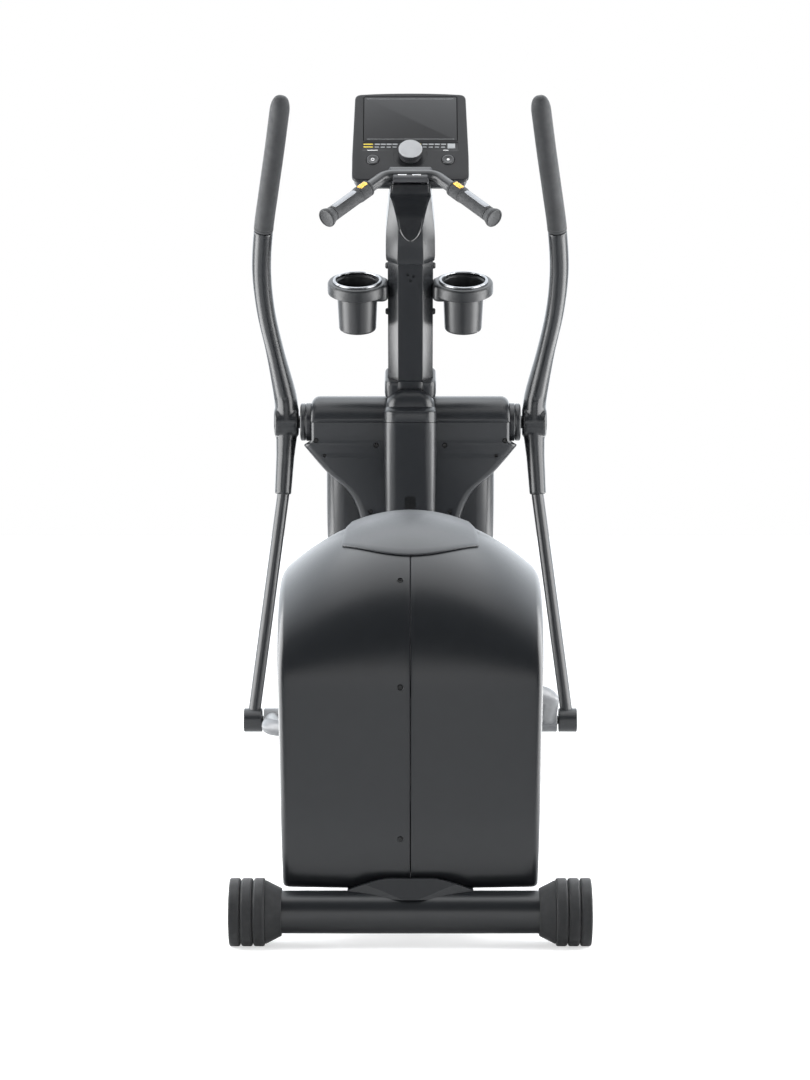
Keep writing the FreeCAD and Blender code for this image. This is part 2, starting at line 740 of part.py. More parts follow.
def make_front_frame():
    low = -1060
    outer = box("tower_outer", (-d.tower_wide / 2, -d.tower_deep / 2, low),
                (d.tower_wide / 2, d.tower_deep / 2, -6))
    inner = box("tower_inner", (-d.tower_wide / 2 + 3, -d.tower_deep / 2 + 3, low),
                (d.tower_wide / 2 - 3, d.tower_deep / 2 - 3, -6))
    flange = box("tower_flange", (-d.mast_half + 2, -d.mast_deep + 2, -6),
                 (d.mast_half - 2, d.mast_deep - 2, 0))
    tube = mast_frame(fuse("tower_tube", cut("tower_walls", outer, inner), flange))
    top = d.axle_z + d.beam_tall / 2
    floor = box("tower_floor", (-100, d.mast_y, -200), (100, d.front_y + 200, top))
    pivot = cylinder("tower_pivot", d.pivot_tube, 200, (-100, d.pivot_y, d.pivot_z))
    node(cut("tower", tube, floor, pivot), "front_tower")

    half = d.pivot_half - d.skin - 1
    at = (-half, d.pivot_y, d.pivot_z)
    bar = cylinder("pivot_outer", d.pivot_tube, half * 2, at)
    bore = cylinder("pivot_bore", d.pivot_tube - 4, half * 2, at)
    reach = d.hub_out - 14
    plug = cylinder("pivot_plug", d.pivot_tube - 4, 30, (half - 30, d.pivot_y, d.pivot_z))
    pin = cylinder("pivot_pin", d.pivot_pin, reach - half, (half, d.pivot_y, d.pivot_z))
    stub = fuse("pivot_stub", plug, pin)
    pair = fuse("pivot_weld", cut("pivot_pipe", bar, bore), stub, mirrored("stub_left", stub))
    node(pair, "pivot_tube")

    walls = padded("mast_walls", "XY_Plane", d.mast_long, (0, 0, 0), mast_outline(0))
    hollow = padded("mast_hollow", "XY_Plane", d.mast_long, (0, 0, 0), mast_outline(d.mast_wall))
    post = mast_frame(cut("mast_tube", walls, hollow))
    bracket = solid("mast_bracket", bracket_shape())
    node(fuse("mast", post, bracket), "mast_post")


def lean_point(y, z):
    """A point of the mast's frame in the trainer's own frame."""
    turn = Rotation(Vector(1, 0, 0), number(d.mast_lean))
    return vector(0, d.mast_y, d.mast_z) + turn.multVec(vector(0, y, z))


def bracket_shape():
    """A steel arm from the mast's head to the fixed handlebar."""
    start = lean_point(0, d.mast_long - 12)
    end = vector(0, d.bar_y, d.bar_z)
    run = end - start
    run.normalize()
    up = Vector(1, 0, 0).cross(run)
    wire = rounded_section(start, Vector(1, 0, 0), up, 25, 14, 4)
    arm = Part.Face(wire).extrude(run * ((end - start).Length + 8))
    head = rounded_section(lean_point(0, d.mast_long), Vector(1, 0, 0),
                           Rotation(Vector(1, 0, 0), number(d.mast_lean)).multVec(Vector(0, 1, 0)),
                           number(d.mast_half) - 1, number(d.mast_deep) - 1, 12)
    lean_up = lean_point(0, 1) - lean_point(0, 0)
    cap = Part.Face(head).extrude(lean_up * 6)
    bar = handlebar_rod()
    above = Part.Face(head).extrude(lean_up * 60)
    reach = above.fuse(half_space(Vector(-60, -50, 1300), Vector(60, 260, 1600)))
    return biggest(arm.common(reach).fuse(cap).cut(bar).cut(console_room()))


def shroud_block(inset):
    """The front leg's fairing: it follows the leaning tower and narrows to the floor."""
    heights = (d.house_floor, 400, 650, 903)
    halves = (120, 178, 196, 198)
    rears = (702, 578, 478, 426)
    fronts = (918, 790, 682, 588)
    wires = []
    last = len(heights) - 1
    for i, (z, half, rear, front) in enumerate(zip(heights, halves, rears, fronts)):
        lift = inset if i == 0 else (-inset if i == last else 0)
        centre = Vector(0, (rear + front) / 2, number(z) + lift)
        deep = (front - rear) / 2 - inset
        wires.append(rounded_section(centre, Vector(1, 0, 0), Vector(0, 1, 0),
                                     half - inset, deep, 44 - inset))
    return loft(wires)


def crossbar_block(inset):
    """The tee over the swing-arm pivot, with a gusset that drops to the leg."""
    out = number(d.pivot_half) - inset
    top = number(d.pivot_z) + 61 - inset
    seam = number(d.pivot_z)
    foot = seam - 306 + inset
    rear_view = [Vector(248 - 2 * inset, 0, seam - 47 - inset), Vector(out, 0, seam - 46 - inset),
                 Vector(out, 0, top - 20),
                 Vector(out - 2, 0, top - 12), Vector(out - 9, 0, top - 5), Vector(out - 20, 0, top)]
    rear_view += [Vector(-spot.x, 0, spot.z) for spot in reversed(rear_view)]
    curve = [(190, -122), (141, -162), (116, -225), (108, -306)]
    for x, z in curve:
        rear_view.insert(0, Vector(x - inset, 0, max(seam + z + inset * 0.3, foot)))
    for x, z in curve:
        rear_view.append(Vector(-x + inset, 0, max(seam + z + inset * 0.3, foot)))
    wide = prism(rear_view, Vector(0, 700, 0))
    y = number(d.pivot_y)
    side_view = [Vector(-300, y - 52 + inset, seam - 50), Vector(-300, y - 58 + inset, seam),
                 Vector(-300, y - 46 + inset, top - 20), Vector(-300, y - 20 + inset, top),
                 Vector(-300, y + 66 - inset, top), Vector(-300, y + 92 - inset, top - 22),
                 Vector(-300, y + 100 - inset, seam), Vector(-300, y + 96 - inset, seam - 43 + inset),
                 Vector(-300, y + 60, seam - 43 + inset), Vector(-300, y + 120, foot),
                 Vector(-300, y + 22 + inset, foot)]
    deep = prism(side_view, Vector(600, 0, 0))
    return wide.common(deep).removeSplitter()


def spine_block(inset):
    """The narrow rib that runs down the middle of the leg, domed at its top."""
    heights = (1018, 1000, 946, 800, 650, 400, 110)
    rears = (372, 356, 350, 392, 444, 546, 668)
    fronts = (470, 474, 478, 500, 560, 660, 780)
    halves = (54, 60, 61, 61, 61, 60, 56)
    wires = []
    for i, (z, rear, front, half) in enumerate(zip(heights, rears, fronts, halves)):
        lift = -inset if i == 0 else (inset if i == len(heights) - 1 else 0)
        centre = Vector(0, (rear + front) / 2, z + lift)
        wires.append(rounded_section(centre, Vector(1, 0, 0), Vector(0, 1, 0),
                                     half - inset, (front - rear) / 2 - inset, 26 - inset))
    return Part.makeLoft(wires, True, True)


def make_front_covers():
    skin = number(d.skin)
    shroud = shroud_block(0.0)
    shroud_inner = shroud_block(skin)
    bar = crossbar_block(0.0)
    bar_inner = crossbar_block(skin)
    spine = spine_block(0.0)
    spine_inner = spine_block(skin)
    tower = mast_frame(box("tower_room", (-d.tower_wide / 2 - 1, -d.tower_deep / 2 - 1, -1060),
                           (d.tower_wide / 2 + 1, d.tower_deep / 2 + 1, 60)))
    doc.recompute()
    tower_room = tower.Shape
    mast_room = solid("mast_room", Part.Shape())
    mast_wire = Part.makePolygon([vector(x, y, -30) for x, y in mast_outline(-1)]
                                 + [vector(*mast_outline(-1)[0], -30)])
    mast_room.Shape = Part.Face(mast_wire).extrude(Vector(0, 0, 200))
    mast_frame(mast_room)
    doc.recompute()
    pipe_half = number(d.pivot_half) - skin
    pipe = Part.makeCylinder(number(d.pivot_tube) + 1, 2 * pipe_half,
                             vector(-pipe_half, d.pivot_y, d.pivot_z), Vector(1, 0, 0))
    pin = Part.makeCylinder(number(d.pivot_pin) + 0.5, 700, vector(-350, d.pivot_y, d.pivot_z),
                            Vector(1, 0, 0))
    beam = half_space(vector(-42, 500, 0), vector(42, 980, 110))
    openings = [tower_room, mast_room.Shape, pipe, pin, beam]

    def opened(shape):
        for tool in openings:
            shape = shape.cut(tool)
        return shape

    fairing = opened(shroud.cut(shroud_inner).cut(bar))
    for side, low in (("right", 0), ("left", -300)):
        keep = half_space(Vector(low, 0, 0), Vector(low + 300, 1100, 1100))
        node(solid("fairing_" + side, biggest(fairing.common(keep))), "shroud_" + side)

    tee = opened(bar.cut(bar_inner))
    seam = number(d.pivot_z)
    upper = half_space(Vector(-300, 0, seam), Vector(300, 1100, 1200))
    lower = half_space(Vector(-300, 0, 0), Vector(300, 1100, seam))
    node(solid("tee_upper", biggest(tee.common(upper))), "crossbar_upper")
    node(solid("tee_lower", biggest(tee.common(lower).cut(shroud))), "crossbar_lower")

    rib = opened(spine.cut(spine_inner).cut(bar).cut(shroud))
    port = half_space(Vector(-13, 380, 690), Vector(13, 460, 772))
    node(solid("rib", biggest(rib.cut(port))), "spine_cover")

    step = d.end_ring / 2
    profile = [(d.pivot_pin + 0.5, 0), (43, 0), (44.5, 1.5), (44.5, step - 1.5), (42, step),
               (43.5, step + 1.5), (43.5, d.end_ring - 3), (41, d.end_ring),
               (d.pivot_pin + 0.5, d.end_ring)]
    ring_right = turned("end_ring", profile, (d.pivot_half, d.pivot_y, d.pivot_z), "X")
    node(group("end_rings_pair", ring_right, mirrored("end_ring_left", ring_right)), "end_rings")


def biggest(shape):
    """The largest solid of a cut, without its loose slivers."""
    return max(shape.Solids, key=lambda piece: piece.Volume)


def make_collar():
    """A moulded collar that closes the gap between the mast and the dome."""
    collar = solid("collar", Part.Shape())
    centre = Vector(0, 0, 6)
    outer = loft([
        rounded_section(centre, Vector(1, 0, 0), Vector(0, 1, 0), 60, 52, 19),
        rounded_section(Vector(0, 0, 34), Vector(1, 0, 0), Vector(0, 1, 0), 58.5, 48, 18),
        rounded_section(Vector(0, 0, 40), Vector(1, 0, 0), Vector(0, 1, 0), 55, 45, 16),
    ])
    points = [vector(x, y, -10) for x, y in mast_outline(0)]
    hole = prism(points, Vector(0, 0, 80))
    collar.Shape = outer.cut(hole)
    turn = Rotation(Vector(1, 0, 0), number(d.mast_lean))
    world = collar.Shape.copy()
    world.Placement = Placement(vector(0, d.mast_y, d.mast_z), turn)
    trimmed = world.cut(crossbar_block(0.0)).cut(spine_block(0.0))
    collar.Shape = biggest(trimmed)
    node(collar, "mast_collar")


# ---------------------------------------------------------------- console and fixed handlebar
def face_frame(obj):
    """Stand a piece on the console's sloping face."""
    return framed(obj, vector(0, d.face_y, d.face_z), d.face_turn)


def console_slab(name, inset, low, high):
    """A slab with the console's slightly tapered outline and rounded corners."""
    wide = d.face_half - inset
    narrow = d.face_half - 5 - inset
    points = [(-wide, inset), (wide, inset), (wide, 70), (narrow, d.face_long - inset),
              (-narrow, d.face_long - inset), (-wide, 70)]
    slab = padded(name, "XY_Plane", high - low, (0, 0, low), points)
    return fillet(name + "_round", slab, 16 - inset, along_axis("z"))


def make_console():
    back = console_slab("case_back", 3, -d.face_deep, -d.bezel)
    hollow = console_slab("case_room", 6, -d.face_deep + 3, -d.bezel)
    node(face_frame(cut("case", back, hollow)), "console_back")

    plate = console_slab("fascia_plate", 0, -d.bezel, Size(0.0, "0"))
    screen_low = (-d.screen_half, d.screen_low, -3)
    recess = box("screen_recess", screen_low, (d.screen_half, d.screen_high, 1))
    tools = [recess]
    for side, x in (("r", d.button_x), ("l", -d.button_x)):
        hole = cylinder("button_hole_" + side, d.button_radius + 0.3, d.bezel + 2,
                        (x, d.button_y, -d.bezel - 1), "Z")
        tools.append(hole)
    tools.append(cylinder("knob_hole", 3.05, d.bezel + 2, (0, d.knob_y, -d.bezel - 1), "Z"))
    tools.append(cylinder("knob_dish", 43, 1.5, (0, d.knob_y, -1.5), "Z"))
    node(face_frame(cut("fascia", plate, *tools)), "console_front")

    glass = box("glass", (-d.screen_half + 0.3, d.screen_low + 0.3, -3),
                (d.screen_half - 0.3, d.screen_high - 0.3, -0.2))
    node(face_frame(glass), "console_display")

    board = box("board_plate", (-95, 60, -30), (95, 190, -28.4))
    chips = [box("chip%d" % i, (x, y, -28.4), (x + 22, y + 18, -24))
             for i, (x, y) in enumerate(((-70, 90), (-20, 120), (35, 84), (50, 150)))]
    legs = [cylinder("leg%d" % i, 4, d.face_deep - 33, (x, y, -d.face_deep + 3), "Z")
            for i, (x, y) in enumerate(((-85, 70), (85, 70), (-85, 180), (85, 180)))]
    node(face_frame(fuse("board", board, *chips, *legs)), "console_board")

    profile = [(0, -12), (3, -12), (3, 0), (d.knob_radius - 1, 0), (d.knob_radius, 3),
               (d.knob_radius, 15), (d.knob_radius + 2, 16), (d.knob_radius + 2, 19),
               (d.knob_radius, 21), (0, 21)]
    node(face_frame(turned("dial", profile, (0, d.knob_y, 0))), "knob_dial")

    profile = [(0, -6), (d.button_radius, -6), (d.button_radius, 1.6),
               (d.button_radius - 1, 2.4), (0, 2.0)]
    for side, x in (("right", d.button_x), ("left", -d.button_x)):
        key = turned("key_" + side, profile, (x, d.button_y, 0))
        node(face_frame(key), "button_" + side)


def console_room():
    """The console's whole block, used to trim what it stands on."""
    turn = Rotation(Vector(1, 0, 0), number(d.face_turn))
    half = number(d.face_half) + 1
    block = Part.makeBox(2 * half, number(d.face_long) + 2, number(d.face_deep) + 1,
                         vector(-half, -1, -d.face_deep))
    block.Placement = Placement(vector(0, d.face_y, d.face_z), turn)
    return block


def bar_points():
    end = vector(d.bar_end, d.bar_end_y, d.bar_end_z)
    mid = vector(d.bar_mid, d.bar_y, d.bar_z)
    return [Vector(-end.x, end.y, end.z), Vector(-mid.x, mid.y, mid.z), mid, end]


def handlebar_rod():
    return bent_rod(bar_points(), 36.0, number(d.bar_radius))


def grip_axis():
    """The right grip's start, its unit direction and the whole straight length."""
    points = bar_points()
    run = points[3] - points[2]
    length = run.Length
    run.normalize()
    return points[2], run, length


def along_grip(share):
    start, run, length = grip_axis()
    return start + run * (length * share)


def grip_top():
    """The direction square to the right grip that points most nearly up and rearward."""
    run = grip_axis()[1]
    lift = Vector(0, -0.55, 0.83)
    lift = lift - run * lift.dot(run)
    lift.normalize()
    return lift


def grip_block(share, along, across, low, high):
    """A small block on the grip's top, between two distances from its axis."""
    run = grip_axis()[1]
    lift = grip_top()
    side = lift.cross(run)
    base = along_grip(share) + lift * low
    wire = rounded_section(base, run, side, along / 2, across / 2, 3)
    return Part.Face(wire).extrude(lift * (high - low))


def make_handlebar():
    bar = number(d.bar_radius)
    sleeve = number(d.sleeve_radius)
    collar = number(d.collar_radius)
    node(solid("bar", handlebar_rod()), "handlebar")

    def tube(start, end, outer):
        a, b = along_grip(start), along_grip(end)
        return rod_between(a, b, outer).cut(rod_between(a, b, bar))

    grip = tube(0.30, 0.93, sleeve).fuse(tube(0.30, 0.50, collar)).removeSplitter()
    grip = grip.cut(grip_block(0.40, 24.6, 12.6, bar, collar + 5))
    plate_zone = grip_block(0.70, 62, 26, 6, 30)
    plate = rod_between(along_grip(0.52), along_grip(0.92), sleeve + 1.2)
    plate = plate.cut(rod_between(along_grip(0.50), along_grip(0.94), sleeve)).common(plate_zone)
    knob_start, knob_end = along_grip(0.93), along_grip(1.04)
    knob = rod_between(knob_start, knob_end, 21.5)
    knob = knob.makeFillet(4.0, [e for e in knob.Edges if e.Closed])
    knob = knob.cut(rod_between(along_grip(0.9), along_grip(1.0), bar))
    button = grip_block(0.40, 24, 12, bar + 1.3, collar + 1.6)
    pairs = (("grip_sleeve", grip, "handlebar_grips"), ("pulse", plate, "pulse_plates"),
             ("grip_knob", knob, "grip_ends"))
    for name, shape, label in pairs:
        right = solid(name, shape)
        node(group(name + "_pair", right, mirrored(name + "_left", right)), label)
    right = node(solid("thumb", button), "grip_button_right")
    node(mirrored("thumb_left", right), "grip_button_left")

    cover = solid("bar_cover", bar_cover_shape())
    node(cover, "handlebar_plate")


def bar_cover_shape():
    """The small sloping pad over the middle of the handlebar."""
    y = number(d.bar_y)
    z = number(d.bar_z)
    side = [Vector(-50, y - 20, z - 16), Vector(-50, y - 18, z - 4), Vector(-50, y + 10, z + 20),
            Vector(-50, y + 22, z + 20), Vector(-50, y + 26, z - 16)]
    pad = prism(side, Vector(100, 0, 0))
    plan = [Vector(-50, y + 30, 0), Vector(50, y + 30, 0), Vector(44, y - 30, 0),
            Vector(-44, y - 30, 0)]
    pad = pad.common(prism(plan, Vector(0, 0, 2000)))
    return biggest(pad.cut(handlebar_rod()).cut(console_room()).cut(bracket_shape()))


def neck_block(inset):
    """The cover over the mast's head: it bends from the mast to the handlebar."""
    stations = [(305, 1324, 23, 58, 49), (268, 1385, 36, 56, 48), (205, 1432, 52, 50, 40),
                (140, 1458, 66, 46.5, 30), (96, 1470, 72, 44.5, 22)]
    wires = []
    last = len(stations) - 1
    for i, (y, z, lean, wide, deep) in enumerate(stations):
        turn = Rotation(Vector(1, 0, 0), lean)
        reach = turn.multVec(Vector(0, 0, 1)) * (inset if i == 0 else (-inset if i == last else 0))
        centre = Vector(0, y, z) + reach
        wires.append(rounded_section(centre, Vector(1, 0, 0), turn.multVec(Vector(0, 1, 0)),
                                     wide - inset, deep - inset, 16 - inset))
    return loft(wires)


def make_neck():
    outer = neck_block(0.0)
    shell = outer.cut(neck_block(3.0))
    post = doc.getObject("mast").Shape
    pad = bar_cover_shape()
    room = Part.makeCylinder(number(d.bar_radius), 200, vector(-100, d.bar_y, d.bar_z), Vector(1, 0, 0))
    mast_wire = [vector(x, y, 200) for x, y in mast_outline(0)]
    hole = prism(mast_wire, Vector(0, 0, 180))
    turn = Rotation(Vector(1, 0, 0), number(d.mast_lean))
    hole.Placement = Placement(vector(0, d.mast_y, d.mast_z), turn)
    for tool in (console_room(), post, pad, room, hole, handlebar_rod()):
        shell = shell.cut(tool)
    node(solid("neck", biggest(shell)), "neck_cover")

    badge = neck_block(-2.5).cut(outer)
    shield = [Vector(-46, 0, 1476), Vector(46, 0, 1476), Vector(40, 0, 1440), Vector(24, 0, 1392),
              Vector(14, 0, 1372), Vector(0, 0, 1366), Vector(-14, 0, 1372), Vector(-24, 0, 1392),
              Vector(-40, 0, 1440)]
    zone = prism(shield, Vector(0, 400, 0))
    rear = half_space(Vector(-100, 0, 1300), Vector(100, 262, 1462))
    badge = badge.common(zone).common(rear).cut(console_room()).cut(pad)
    below = sorted(badge.Solids, key=lambda piece: piece.CenterOfMass.z)
    node(solid("shield", below[0]), "neck_shield")


# ---------------------------------------------------------------- cup holders
def make_cups():
    r, flange, deep, inner = d.cup_radius, d.cup_flange, d.cup_deep, d.cup_inner
    profile = [
        (0, -deep), (r - 7, -deep), (r - 4, -deep + 3), (r, -30), (flange - 3, -30),
        (flange, -27), (flange, -3), (flange - 3, 0), (inner, 0), (inner - 4, -4),
        (r - d.cup_wall, -30), (r - d.cup_wall - 4.5, -deep + d.cup_wall),
        (0, -deep + d.cup_wall),
    ]
    at = (d.cup_x, d.cup_back, d.cup_up)
    cup = turned("cup_shell", profile, at)
    room = cylinder("cup_room", inner - 4, deep, (d.cup_x, d.cup_back, d.cup_up - deep + 10), "Z")
    arm = box("cup_arm", (d.mast_half, d.cup_back - 30, d.cup_up - 42),
              (d.cup_x, d.cup_back + 34, d.cup_up - 2))
    arm = fillet("cup_arm_round", arm, 6, along_axis("x"))
    arm = cut("cup_arm_cut", arm, room)
    right = mast_frame(fuse("cup", cup, arm))
    node(right, "cup_holder_right")
    node(mirrored("cup_left", right), "cup_holder_left")

    rim = [(inner, 0), (inner + 6, 0), (inner + 5, 4), (inner + 1, 5), (inner, 3)]
    ring_right = mast_frame(group("cup_ring", turned("cup_rim", rim, at)))
    node(group("cup_ring_pair", ring_right, mirrored("cup_ring_left", ring_right)), "cup_rings")


# ---------------------------------------------------------------- swing arms and pedals
def handle_points():
    """The handle's centreline, from the pivot hub up to the grip's top."""
    route = ((289, 444, 946), (291, 446, 985), (297, 440, 1022), (316, 404, 1112),
             (334, 350, 1204), (340, 288, 1294), (332, 226, 1381), (317, 174, 1467),
             (302, 132, 1552), (289, 98, 1634))
    return [Vector(*spot) for spot in route]


def make_swing_arms():
    points = handle_points()
    ahead = Vector(0, 1, 0.3)
    joint = 6
    core = number(d.core_radius)
    hub = vector(d.hub_in + 4, d.pivot_y, d.pivot_z)
    hub_length = number(d.hub_out - d.hub_in) - 9
    steel = Part.makeCylinder(number(d.hub_radius) - 6, hub_length, hub, Vector(1, 0, 0))
    low = vector((d.low_in + d.low_out) / 2, d.pivot_y, d.pivot_z - d.swing_drop)
    top = vector(280, d.pivot_y, d.pivot_z - 28)
    rod = rod_between(top, low, number(d.rod_radius))
    low_hub = Part.makeCylinder(number(d.low_radius), number(d.low_out - d.low_in),
                                vector(d.low_in, d.pivot_y, low.z), Vector(1, 0, 0))
    rims = [e for e in low_hub.Edges if e.Closed]
    low_hub = low_hub.makeFillet(2.0, rims)
    low_pin = Part.makeCylinder(number(d.low_pin), number(d.low_in - d.link_in) + 2,
                                vector(d.link_in - 2, d.pivot_y, low.z), Vector(1, 0, 0))
    washer = Part.makeCylinder(16.0, 4.0, vector(d.link_in - 5, d.pivot_y, low.z), Vector(1, 0, 0))
    stem = oval_loft(points[1:], [core] * 9, [core * 1.05] * 9, ahead)
    bore = Part.makeCylinder(number(d.pivot_pin + d.running_gap), number(d.hub_out) - 11.5 - 200,
                             vector(200, d.pivot_y, d.pivot_z), Vector(1, 0, 0))
    frame = steel.fuse([rod, low_hub, low_pin, washer, stem]).cut(bore).removeSplitter()

    tip = points[-1] + (points[-1] - points[-2]) * 0.33
    limb_points = points + [tip, tip + (tip - points[-1]) * 0.36]
    wide = [25, 26, 24.5, 19.5, 19.5, 21, 21, 21, 21, 21, 20, 10]
    deep = [34, 36, 33, 26, 23, 22.5, 21.5, 21.5, 21.5, 21.5, 20.5, 10.5]
    limb = oval_loft(limb_points, wide, deep, ahead)
    heading = points[joint + 1] - points[joint - 1]
    beyond = Part.makeCylinder(200.0, 600.0, points[joint], heading)
    handle = limb.cut(beyond)
    grip = limb.common(beyond).cut(frame)
    disc = Part.makeCylinder(number(d.hub_radius), number(d.hub_out - d.hub_in),
                             vector(d.hub_in, d.pivot_y, d.pivot_z), Vector(1, 0, 0))
    disc = disc.makeFillet(5.0, [e for e in disc.Edges if e.Closed])
    foot = vector(300, d.pivot_y, 776)
    head = vector(290, d.pivot_y, 930)
    sleeve = Part.makeCone(19.5, 22.2, (head - foot).Length, foot, head - foot)
    inside = half_space(vector(100, 300, 700), vector(d.hub_in, 600, 1100))
    cover = disc.fuse([handle, sleeve]).cut(inside).removeSplitter()
    cover = cover.cut(frame)
    axle_room = Part.makeCylinder(number(d.pivot_pin) + 0.6, number(d.hub_out) - 11.5 - 200,
                                  vector(200, d.pivot_y, d.pivot_z), Vector(1, 0, 0))
    cover = cover.cut(axle_room)

    pieces = (("swing_frame", frame, "swing_arm_"), ("swing_skin", biggest(cover), "swing_cover_"),
              ("swing_rubber", biggest(grip), "swing_grip_"))
    for name, shape, label in pieces:
        right = node(solid(name, shape), label + "right")
        node(mirrored(name + "_left", right), label + "left")


def pedal_arm_shape():
    """The right link in its own frame: the lower pivot at the origin, the link along -Y."""
    x = number(d.link_x)
    out = number(d.link_in + d.link_out) / 2
    bend = number(d.link_bend)
    long = number(d.link_long)
    points = [Vector(out, -14, 1), Vector(out, -bend, 10), Vector(x, -bend - 147, 16),
              Vector(x, -long + 14, 0)]
    tube = bent_rod(points, 70.0, number(d.link_tube))
    hub = Part.makeCylinder(number(d.low_radius), number(d.link_out - d.link_in),
                            vector(d.link_in, 0, 0), Vector(1, 0, 0))
    hub = hub.makeFillet(2.0, [e for e in hub.Edges if e.Closed])
    rear = Part.makeCylinder(27.0, 56.0, Vector(x - 28, -long, 0), Vector(1, 0, 0))
    bore = Part.makeCylinder(number(d.low_pin + d.running_gap), 200, Vector(230, 0, 0),
                             Vector(1, 0, 0))
    rear_bore = Part.makeCylinder(number(d.pin_radius), 40.0, Vector(x - 30, -long, 0),
                                  Vector(1, 0, 0))
    return tube.fuse([hub, rear]).cut(bore).cut(rear_bore).removeSplitter()


def pedal_shapes():
    """The foot tray and its rubber tread in the link's own frame."""
    near = number(d.pedal_near)
    long = number(d.pedal_long)
    half = number(d.pedal_wide) / 2
    x = number(d.pedal_x)
    edge = number(d.pedal_edge)
    base = number(d.pedal_floor)
    middle = Vector(0, 0, 0)
    across, ahead = Vector(1, 0, 0), Vector(0, 1, 0)
    tray = loft([rounded_section(middle, across, ahead, half - 6, long / 2 - 6, 40),
                 rounded_section(Vector(0, 0, edge), across, ahead, half, long / 2, 44)])
    room = loft([rounded_section(Vector(0, 0, base), across, ahead, half - 12, long / 2 - 12, 34),
                 rounded_section(Vector(0, 0, edge), across, ahead, half - 5, long / 2 - 5, 39)])
    heel = half_space(Vector(-half, -long / 2 - 5, base + 6), Vector(half, -long / 2 + 55, edge + 5))
    tray = tray.cut(room).cut(heel)
    tread = Part.Face(rounded_section(Vector(0, 0, base), across, ahead, half - 14, long / 2 - 14, 32))
    tread = tread.extrude(Vector(0, 0, 5))
    for i in range(-6, 7):
        groove = half_space(Vector(-half + 20, i * 24 - 3, base + 3), Vector(half - 20, i * 24 + 3, base + 9))
        tread = tread.cut(groove)
    turn = Rotation(Vector(1, 0, 0), number(d.pedal_tilt))
    spot = Placement(Vector(x, -near - long / 2, number(d.pedal_lift)), turn)
    tray.Placement = spot
    tread.Placement = spot
    tube = pedal_arm_shape()
    saddles = []
    for y in (-near - long + 60, -near - long / 2 - 10):
        block = half_space(Vector(x - 32, y - 22, -8), Vector(x + 26, y + 22, number(d.pedal_lift) + 40))
        saddles.append(block)
    under = loft([rounded_section(Vector(0, 0, -200), across, ahead, half - 6, long / 2 - 6, 40),
                  rounded_section(Vector(0, 0, 0.5), across, ahead, half - 6, long / 2 - 6, 40)])
    under.Placement = spot
    saddle = saddles[0].fuse(saddles[1]).common(under)
    return tray.fuse(saddle).cut(tube).removeSplitter(), tread


def make_pedals():
    crank = Vector(0, number(d.crank_y), number(d.crank_z))
    lower = Vector(0, number(d.pivot_y), number(d.pivot_z - d.swing_drop))
    lead = math.radians(number(d.crank_lead))
    tray, tread = pedal_shapes()
    shapes = (("link", pedal_arm_shape(), "pedal_arm_"), ("tray", tray, "pedal_"),
              ("tread", tread, "pedal_tread_"))
    for side, sign in (("right", 1), ("left", -1)):
        reach = Vector(0, math.sin(lead), math.cos(lead)) * (sign * number(d.crank_radius))
        line = crank + reach - lower
        slope = math.degrees(math.atan2(-line.z, -line.y))
        for name, shape, label in shapes:
            piece = shape if side == "right" else shape.mirror(Vector(0, 0, 0), Vector(1, 0, 0))
            link = solid(name + "_" + side, piece)
            place_at = Placement(lower, Rotation(Vector(1, 0, 0), slope))
            link.Placement = place_at.multiply(piece.Placement)
            node(link, label + side)


# ---------------------------------------------------------------- fasteners
def surface_point(shape, x, z):
    """Where a level line from behind the trainer first meets a shape."""
    start = Vector(x, -1200, z)
    ray = Part.LineSegment(start, Vector(x, 1200, z)).toShape()
    hits = ray.common(shape).Vertexes
    return min((hit.Point for hit in hits), key=lambda point: point.y)


def make_screws():
    """Button-head screws, each in a covered face: the housing's seam, the tee and the mast."""
    by_label = {obj.Label: obj for obj in NODES}
    seam_x = -18.5
    spots = [("housing_left", seam_x, z) for z in (195, 473, 664)]
    tee_spots = ((80, 902), (216, 902), (93, 732))
    spots += [("crossbar_lower", side * x, z) for side in (1, -1) for x, z in tee_spots]
    spots += [("neck_cover", side * 48, 1334) for side in (1, -1)]
    heads = []
    for i, (label, x, z) in enumerate(spots):
        host = by_label[label]
        spot = surface_point(host.Shape, x, z)
        nearby = [surface_point(host.Shape, x + dx, z + dz) for dx, dz in ((3, 0), (0, 3))]
        facing = (nearby[1] - spot).cross(nearby[0] - spot)
        facing.normalize()
        if facing.y > 0:
            facing = facing * -1
        head = Part.makeCone(4.6, 3.2, 1.6, spot - facing * 0.3, facing)
        shank = Part.makeCylinder(2.0, 8.0, spot - facing * 8, facing)
        screw = head.fuse(shank).removeSplitter()
        host.Shape = biggest(host.Shape.cut(screw))
        heads.append(solid("screw%d" % i, screw))
    node(group("screws", *heads), "panel_screws")


make_floor_frame()
make_drive()
make_housing()
make_front_frame()
make_front_covers()
make_collar()
make_console()
make_handlebar()
doc.recompute()
make_neck()
make_cups()
make_swing_arms()
make_pedals()
doc.recompute()
make_screws()
doc.recompute()

# ---------------------------------------------------------------- checks and files
faults = [obj.Name for obj in doc.Objects if {"Invalid", "Error"} & set(obj.State)]
for obj in NODES:
    shape = obj.Shape
    if shape.isNull() or not shape.isValid() or not shape.Solids:
        faults.append(obj.Label)
if faults:
    raise SystemExit("failed pieces: " + ", ".join(faults))

os.makedirs("parts", exist_ok=True)
for obj in NODES:
    obj.Shape.exportStep("parts/%s.step" % obj.Label)
print("wrote", len(NODES), "parts")
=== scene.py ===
import json
import math

import bmesh
import bpy
from mathutils import Matrix, Vector


